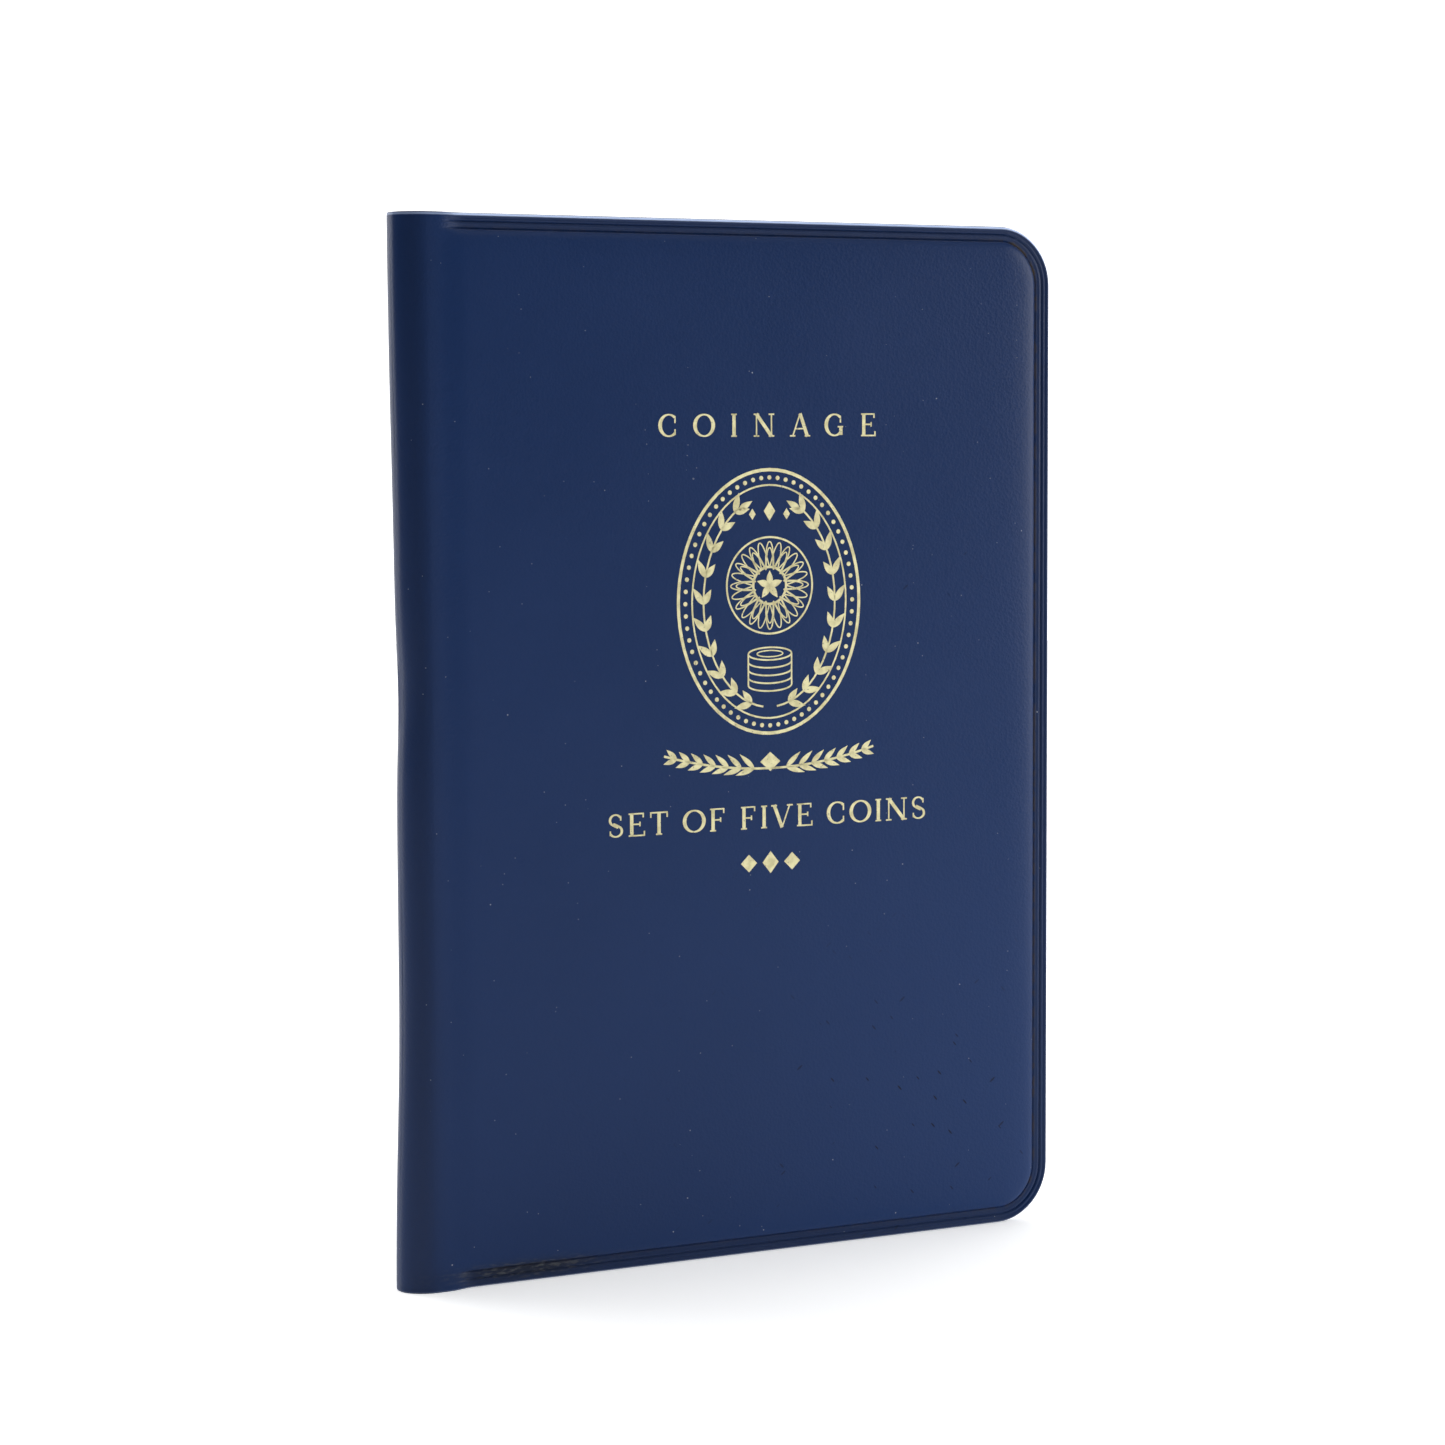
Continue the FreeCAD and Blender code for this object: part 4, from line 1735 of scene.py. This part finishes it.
# ---- coin leaf -----------------------------------------------------------------------
@dataclass
class Coin:
    """A struck coin: value and beads on its front, a rosette on its back, a milled edge."""

    node: str
    value: str
    finish: CoinFinish
    steps: int = 144
    rim: float = 0.9 * MM
    sink: float = 0.12 * MM

    def build(self, fold: Fold, letters: Lettering) -> None:
        """Make the coin where the frame has it.

        Args:
            fold: the leaf's fold.
            letters: the letters for its value.
        """
        low, high = fold.closed_box(self.node)
        x, y, z = (low + high) / 2
        radius, half = (high.z - low.z) / 2, (high.y - low.y) / 2
        field_edge = radius - self.rim
        radii = merged([0.0], spread(0.1 * radius, field_edge - 0.15 * MM, 16),
                       spread(field_edge - 0.15 * MM, field_edge + 0.15 * MM, 3),
                       spread(field_edge + 0.15 * MM, radius - 0.15 * MM, 2), [radius])

        def level(reach: float, turn: float, rosette: bool) -> float:
            """Depth of the face under the rim.

            Args:
                reach: distance from the middle.
                turn: angle round the coin.
                rosette: whether this is the back.

            Returns:
                The depth.
            """
            depth = self.sink * (1 - smooth(field_edge - 0.15 * MM, field_edge + 0.15 * MM, reach))
            if reach >= radius:
                depth += 0.08 * MM
            if rosette:
                share = reach / field_edge
                petal = 0.5 + 0.5 * math.cos(12 * turn)
                depth -= 0.075 * MM * petal * bump(share, 0.52, 0.2)
                depth -= 0.09 * MM * (1 - smooth(0.16, 0.24, share))
            return depth

        points: list[Vector] = []
        hollow: list[float] = []
        for sign, rosette in ((-1, False), (1, True)):
            for reach in radii:
                for step in range(self.steps):
                    turn = 2 * math.pi * step / self.steps
                    milled = reach - (0.05 * MM if reach >= radius and step % 2 else 0.0)
                    depth = level(reach, turn, rosette)
                    spot = Vector((x + milled * math.cos(turn), y + sign * (half - depth),
                                   z + milled * math.sin(turn)))
                    points.append(fold.opened(spot))
                    hollow.append(min(1.0, max(0.0, depth / self.sink)) if reach < field_edge else 0.0)
        rings = len(radii)
        faces = []
        for face_index, flip in ((0, False), (1, True)):
            base = face_index * rings * self.steps
            for ring in range(rings - 1):
                for step in range(self.steps):
                    after = (step + 1) % self.steps
                    a, b = base + ring * self.steps + step, base + ring * self.steps + after
                    c, d = a + self.steps, b + self.steps
                    quad = (a, c, d, b) if ring else (base, c, d)
                    faces.append(tuple(reversed(quad)) if flip else quad)
        edge, other = (rings - 1) * self.steps, (2 * rings - 1) * self.steps
        for step in range(self.steps):
            after = (step + 1) % self.steps
            faces.append((edge + after, edge + step, other + step, other + after))
        piece = mesh_object(f"{self.node}_piece", points, faces, {"hollow": hollow}, 35)
        cleaned = bmesh.new()
        cleaned.from_mesh(piece.data)
        loose = [v for v in cleaned.verts if not v.link_faces]
        bmesh.ops.delete(cleaned, geom=loose, context="VERTS")
        cleaned.to_mesh(piece.data)
        cleaned.free()
        settle(piece, self.finish, "coin_leaf", self.finish.name, self.node)
        self.strike(fold, letters, Vector((x, y, z)), radius / MM, half - self.sink)

    def strike(self, fold: Fold, letters: Lettering, middle: Vector, radius: float, level: float) -> None:
        """Raise the value, beads and leaves on the front, and the star on the back.

        Args:
            fold: the leaf's fold.
            letters: the letters for its value.
            middle: middle of the coin in the closed album.
            radius: the coin's radius in millimetres.
            level: distance from its middle to its field.
        """
        front = letters.word(self.value, 0, 0, radius * 0.62)
        beads = int(radius * 4.6)
        for index in range(beads):
            turn = 2 * math.pi * index / beads
            front.append(disc((radius - 1.5) * math.cos(turn), (radius - 1.5) * math.sin(turn), 0.27, 8))
        for sign in (-1, 1):
            for index in range(9):
                degrees = mixed(-80, 10, index / 8)
                turn = math.radians(degrees)
                px, pz = 0.72 * radius * math.cos(turn), 0.72 * radius * math.sin(turn)
                blade = leaf(0, 0, degrees + 90 + (25 if index % 2 else -25), radius * 0.17, radius * 0.06)
                front.append(blade.moved(sign * px, pz, mirror=sign < 0))
        back = [leaf(0, 0, 90 + 60 * point, radius * 0.2, radius * 0.09) for point in range(6)]
        back += [oval(0, 0, radius - 1.5, radius - 1.5, 0.3)]
        back += [disc(radius * 0.78 * math.cos(math.radians(a)), radius * 0.78 * math.sin(math.radians(a)),
                      radius * 0.035, 8) for a in range(15, 360, 30)]
        for word, strokes, sign in (("value", front, -1), ("star", back, 1)):
            raised = 0.02 if word == "value" else 0.09

            def on_coin(x: float, z: float, height: float, sign: int = sign) -> Vector:
                """Point over the coin's field."""
                return fold.opened(Vector((middle.x - sign * x, middle.y + sign * (level + height),
                                           middle.z + z)))

            struck = drawn_object(f"{self.node}_{word}", strokes, on_coin, (raised + 0.07) * MM, 0.05 * MM)
            settle(struck, self.finish, "coin_leaf", self.finish.name)


@dataclass
class CoinLeaf:
    """Turning leaf: two welded windows over a card of coins, and its guard."""

    film: float = 0.2 * MM
    seam: float = 2.0 * MM
    corner: float = 5.0 * MM
    letters: Lettering = field(default_factory=Lettering)
    coins: Sequence[tuple[str, str, CoinFinish]] = (
        ("coin_fifty", "50", NICKEL), ("coin_twenty_five", "25", NICKEL), ("coin_ten", "10", NICKEL),
        ("coin_five", "5", NICKEL), ("coin_one", "1", BRONZE))

    def __post_init__(self) -> None:
        """Read the leaf's sizes from the frame, laid back into the closed album."""
        self.fold = Fold.of("leaf_turn")
        self.low, self.high = self.fold.closed_box("leaf_front_window")
        guard_low, guard_high = self.fold.closed_box("leaf_guard")
        self.guard_box = (guard_low, guard_high)
        self.middle_y = (guard_low.y + guard_high.y) / 2
        self.half = self.middle_y - self.low.y
        mount_low, mount_high = self.fold.closed_box("coin_mount")
        self.mount_half = (mount_high.y - mount_low.y) / 2

    def place(self, side: Side) -> Place:
        """Rule that puts a point at a height in front of the leaf's middle, or behind it.

        Args:
            side: which face the point is on.

        Returns:
            The rule.
        """
        def put(x: float, z: float, height: float) -> Vector:
            """Point on that side of the leaf."""
            return self.fold.opened(Vector((x, self.middle_y + side.value * height, z)))
        return put

    def build_windows(self) -> None:
        """Clear film on each side, pressed together round the mount."""
        guard_half = (self.guard_box[1].y - self.guard_box[0].y) / 2

        def inner(x: float, z: float, inset: float) -> float:
            """Inner face of the film.

            Args:
                x: place along the leaf.
                z: height above the foot.
                inset: distance in from the edge.

            Returns:
                The distance from the leaf's middle.
            """
            near = guard_half * (1 - smooth(self.seam, self.seam * 1.1, x - self.low.x))
            rise = smooth(self.seam * 0.72, self.seam * 0.97, inset)
            return mixed(near + 0.01 * MM, self.half - self.film, rise)

        def outer(x: float, z: float, inset: float) -> float:
            """Outer face of the film.

            Args:
                x: place along the leaf.
                z: height above the foot.
                inset: distance in from the edge.

            Returns:
                The distance from the leaf's middle.
            """
            bead = 0.06 * MM * bump(inset, 0.4 * MM, 0.22 * MM)
            swell = 0.015 * MM * ripple(x, z, 25 * MM, 8.0) * smooth(3 * MM, 8 * MM, inset)
            return inner(x, z, inset) + self.film * 0.95 + bead + swell

        insets = merged(spread(0, 0.9 * MM, 9), spread(0.9 * MM, 2.2 * MM, 12), [3 * MM, self.corner])
        columns = merged([self.low.x + i for i in insets], spread(self.low.x, self.high.x, 40))
        rows = spread(self.low.z, self.high.z, 60)
        grid = Outline((self.low.x, self.low.z), (self.high.x, self.high.z), self.corner, columns,
                       rows, insets, near_seam=True)
        marks = {"seam": lambda x, z, i: 1 - smooth(self.seam * 0.8, self.seam, i)}
        for side in Side:
            window = grid.shell(f"leaf_{side.word}_film", outer, inner, self.place(side),
                                side is Side.BACK, marks)
            settle(window, FilmFinish(), "coin_leaf", "clear_film", f"leaf_{side.word}_window")

    def build_guard(self) -> None:
        """Vinyl strip from the spine to the leaf, thick where it is welded to the spine."""
        low, high = self.guard_box
        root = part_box("spine_strip")[0].x + 0.42 * MM
        half = (high.y - low.y) / 2

        def swell(x: float, z: float, inset: float) -> float:
            """Half thickness of the strip."""
            return half + 0.45 * MM * math.exp(-(x - root) / (0.45 * MM))

        grid = Outline((root, low.z), (high.x, high.z), 0.0,
                       merged(spread(root, root + 2 * MM, 12), spread(root + 2 * MM, high.x, 14)),
                       spread(low.z, high.z, 40), [0.0])
        strip = grid.shell("leaf_guard_strip", swell, lambda x, z, i: -swell(x, z, i),
                           self.soft_place(root))
        reach = self.fold.opened(Vector((root + 6 * MM, self.middle_y, 0)))
        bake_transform(strip, "coin_leaf", "spine", start=reach, end=Vector((root, self.middle_y, 0)))
        settle(strip, LINING, "coin_leaf", "lining_vinyl", "leaf_guard")

    def soft_place(self, root: float) -> Place:
        """Rule for the guard, which turns little by little away from the spine.

        Args:
            root: place of the strip's root.

        Returns:
            The rule.
        """
        def put(x: float, z: float, height: float) -> Vector:
            """Point of the guard, turned by its share of the fold."""
            share = smooth(root, root + 6 * MM, x)
            return self.fold.opened(Vector((x, self.middle_y - height, z)), share)
        return put

    def build_mount(self) -> None:
        """Dress the mount card and ring its holes in foil on both faces."""
        dress(frame["nodes"]["coin_mount"], MOUNT)
        rings = []
        for node, _, _ in self.coins:
            low, high = self.fold.closed_box(node)
            x, z = (low.x + high.x) / 2 / MM, (low.z + high.z) / 2 / MM
            radius = (high.z - low.z) / 2 / MM
            rings += [oval(x, z, radius + 1.3, radius + 1.3, 0.35, 96),
                      oval(x, z, radius + 2.0, radius + 2.0, 0.14, 96)]
        for side in Side:
            put = self.place(side)
            printed = drawn_object(f"mount_{side.word}_rings", rings,
                                   lambda x, z, h, put=put: put(x, z, self.mount_half + h),
                                   0.012 * MM, 0.01 * MM, flip=side is Side.BACK)
            settle(printed, FoilFinish(), "coin_leaf", "gold_foil")

    def build(self) -> None:
        """Make every piece of the leaf."""
        self.build_windows()
        self.build_guard()
        self.build_mount()
        for node, value, finish in self.coins:
            Coin(node, value, finish).build(self.fold, self.letters)


# ---- stage ---------------------------------------------------------------------------
@dataclass(frozen=True)
class Lamp:
    """Soft area light, aimed at the album.

    azimuth is the direction from the album in degrees, from the camera's side, clockwise
    from above; height and reach are metres above and along the floor; power is in watts.
    """

    name: str
    azimuth: float
    height: float
    reach: float
    size: Point
    power: float


LAMPS = (
    Lamp("back_overhead", 180, 1.0, 0.35, (1.6, 1.2), 14.0),
    Lamp("right_fill", 86, 0.26, 1.0, (0.6, 0.5), 5.5),
    Lamp("right_top", 54, 0.85, 0.95, (0.4, 0.3), 1.0),
    Lamp("left_back", -120, 0.6, 1.0, (0.7, 1.2), 4.4),
)


@dataclass
class Studio:
    """Pale floor, soft lights and the camera."""

    cover: Cover
    lens_mm: float = 87.6
    aside: float = 45.96 * MM
    away: float = 494.36 * MM
    below: float = -111.7 * MM
    yaw_deg: float = 27.12
    pitch_deg: float = 4.71
    roll_deg: float = -0.26
    sky: Colour = colour(0.90, 0.95, 1.0)
    sky_strength: float = 0.045

    def build_sheet(self, name: str, profile: Sequence[Point], lit: Sequence[float],
                    finish: FloorFinish) -> None:
        """Wide sheet that follows a profile away from the camera, lit by a share at each step.

        Args:
            name: the sheet's name.
            profile: distance and height of each step.
            lit: share of light at each step.
            finish: its finish.
        """
        points = [Vector((x, y, z)) for x in (-4.0, 4.0) for y, z in profile]
        count = len(profile)
        faces = [(i, count + i, count + i + 1, i + 1) for i in range(count - 1)]
        sheet = mesh_object(name, points, faces, {"lit": list(lit) * 2})
        sheet.data.transform(Matrix.Rotation(self.facing(), 4, "Z"))
        dress(sheet, finish)
        sheet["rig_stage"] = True

    def build_floor(self) -> None:
        """Floor, and a bright backdrop that curves up far behind the album."""
        near, front, table, far, bend, tall = -3.0, -0.7, -0.22, 1.4, 0.6, 2.4
        self.build_sheet("floor", [(y, 0.0) for y in (near, front, table, far)], (0.25, 0.25, 1, 1),
                         FloorFinish())
        curve = [(far + bend * math.sin(a), bend - bend * math.cos(a)) for a in spread(0, math.pi / 2, 14)]
        curve.append((far + bend, tall))
        self.build_sheet("backdrop", curve, [1.0] * len(curve), FloorFinish("bright_backdrop", 1.1))

    def facing(self) -> float:
        """Turn of the camera about the upright, from looking along +Y."""
        return self.cover.fold.turn - math.radians(self.yaw_deg)

    def build_camera(self) -> None:
        """Camera, placed from the front cover's lower free corner."""
        corner = self.cover.fold.opened(Vector((
            self.cover.free_x, -self.cover.half + self.cover.weld_sink, 0)))
        turn = Matrix.Rotation(self.facing(), 3, "Z")
        data = bpy.data.cameras.new("camera")
        data.lens = self.lens_mm
        data.sensor_width = 36.0
        camera = bpy.data.objects.new("camera", data)
        bpy.context.scene.collection.objects.link(camera)
        tilt = Matrix.Rotation(math.radians(90 - self.pitch_deg), 3, "X")
        roll = Matrix.Rotation(math.radians(self.roll_deg), 3, "Z")
        camera.matrix_world = (turn @ tilt @ roll).to_4x4()
        camera.location = corner - turn @ Vector((self.aside, self.away, self.below))
        data.clip_start, data.clip_end = 0.01, 20
        bpy.context.scene.camera = camera

    def add_lamp(self, lamp: Lamp) -> None:
        """Hang one light and aim it at the middle of the album.

        Args:
            lamp: the light.
        """
        data = bpy.data.lights.new(lamp.name, "AREA")
        data.shape = "RECTANGLE"
        data.size, data.size_y = lamp.size
        data.energy = lamp.power
        light = bpy.data.objects.new(lamp.name, data)
        turn = self.facing() + math.radians(lamp.azimuth)
        light.location = (lamp.reach * math.sin(turn), -lamp.reach * math.cos(turn), lamp.height)
        aim = Vector((0, 0, self.cover.head / 2)) - light.location
        light.rotation_euler = aim.to_track_quat("-Z", "Y").to_euler()
        bpy.context.scene.collection.objects.link(light)

    def build(self) -> None:
        """Set the whole stage."""
        self.build_floor()
        self.build_camera()
        world = bpy.data.worlds.new("studio")
        world.use_nodes = True
        background = world.node_tree.nodes["Background"]
        background.inputs["Color"].default_value = self.sky
        background.inputs["Strength"].default_value = self.sky_strength
        bpy.context.scene.world = world
        for lamp in LAMPS:
            self.add_lamp(lamp)
        bpy.context.scene.view_settings.view_transform = "Standard"


def main() -> None:
    """Build the album on its frame, then the stage."""
    logging.basicConfig(level=logging.INFO, format="%(name)s: %(message)s")
    frame_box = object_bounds()
    front = Cover(Side.FRONT)
    Studio(front).build()
    for maker in (front, Cover(Side.BACK), Stamping(front), Pocket(front), CoinLeaf()):
        log.info("making %s", type(maker).__name__)
        maker.build()
    visual_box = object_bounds()
    [[list(corner) for corner in box] for box in (frame_box, visual_box)]


if __name__ == "__main__":
    main()
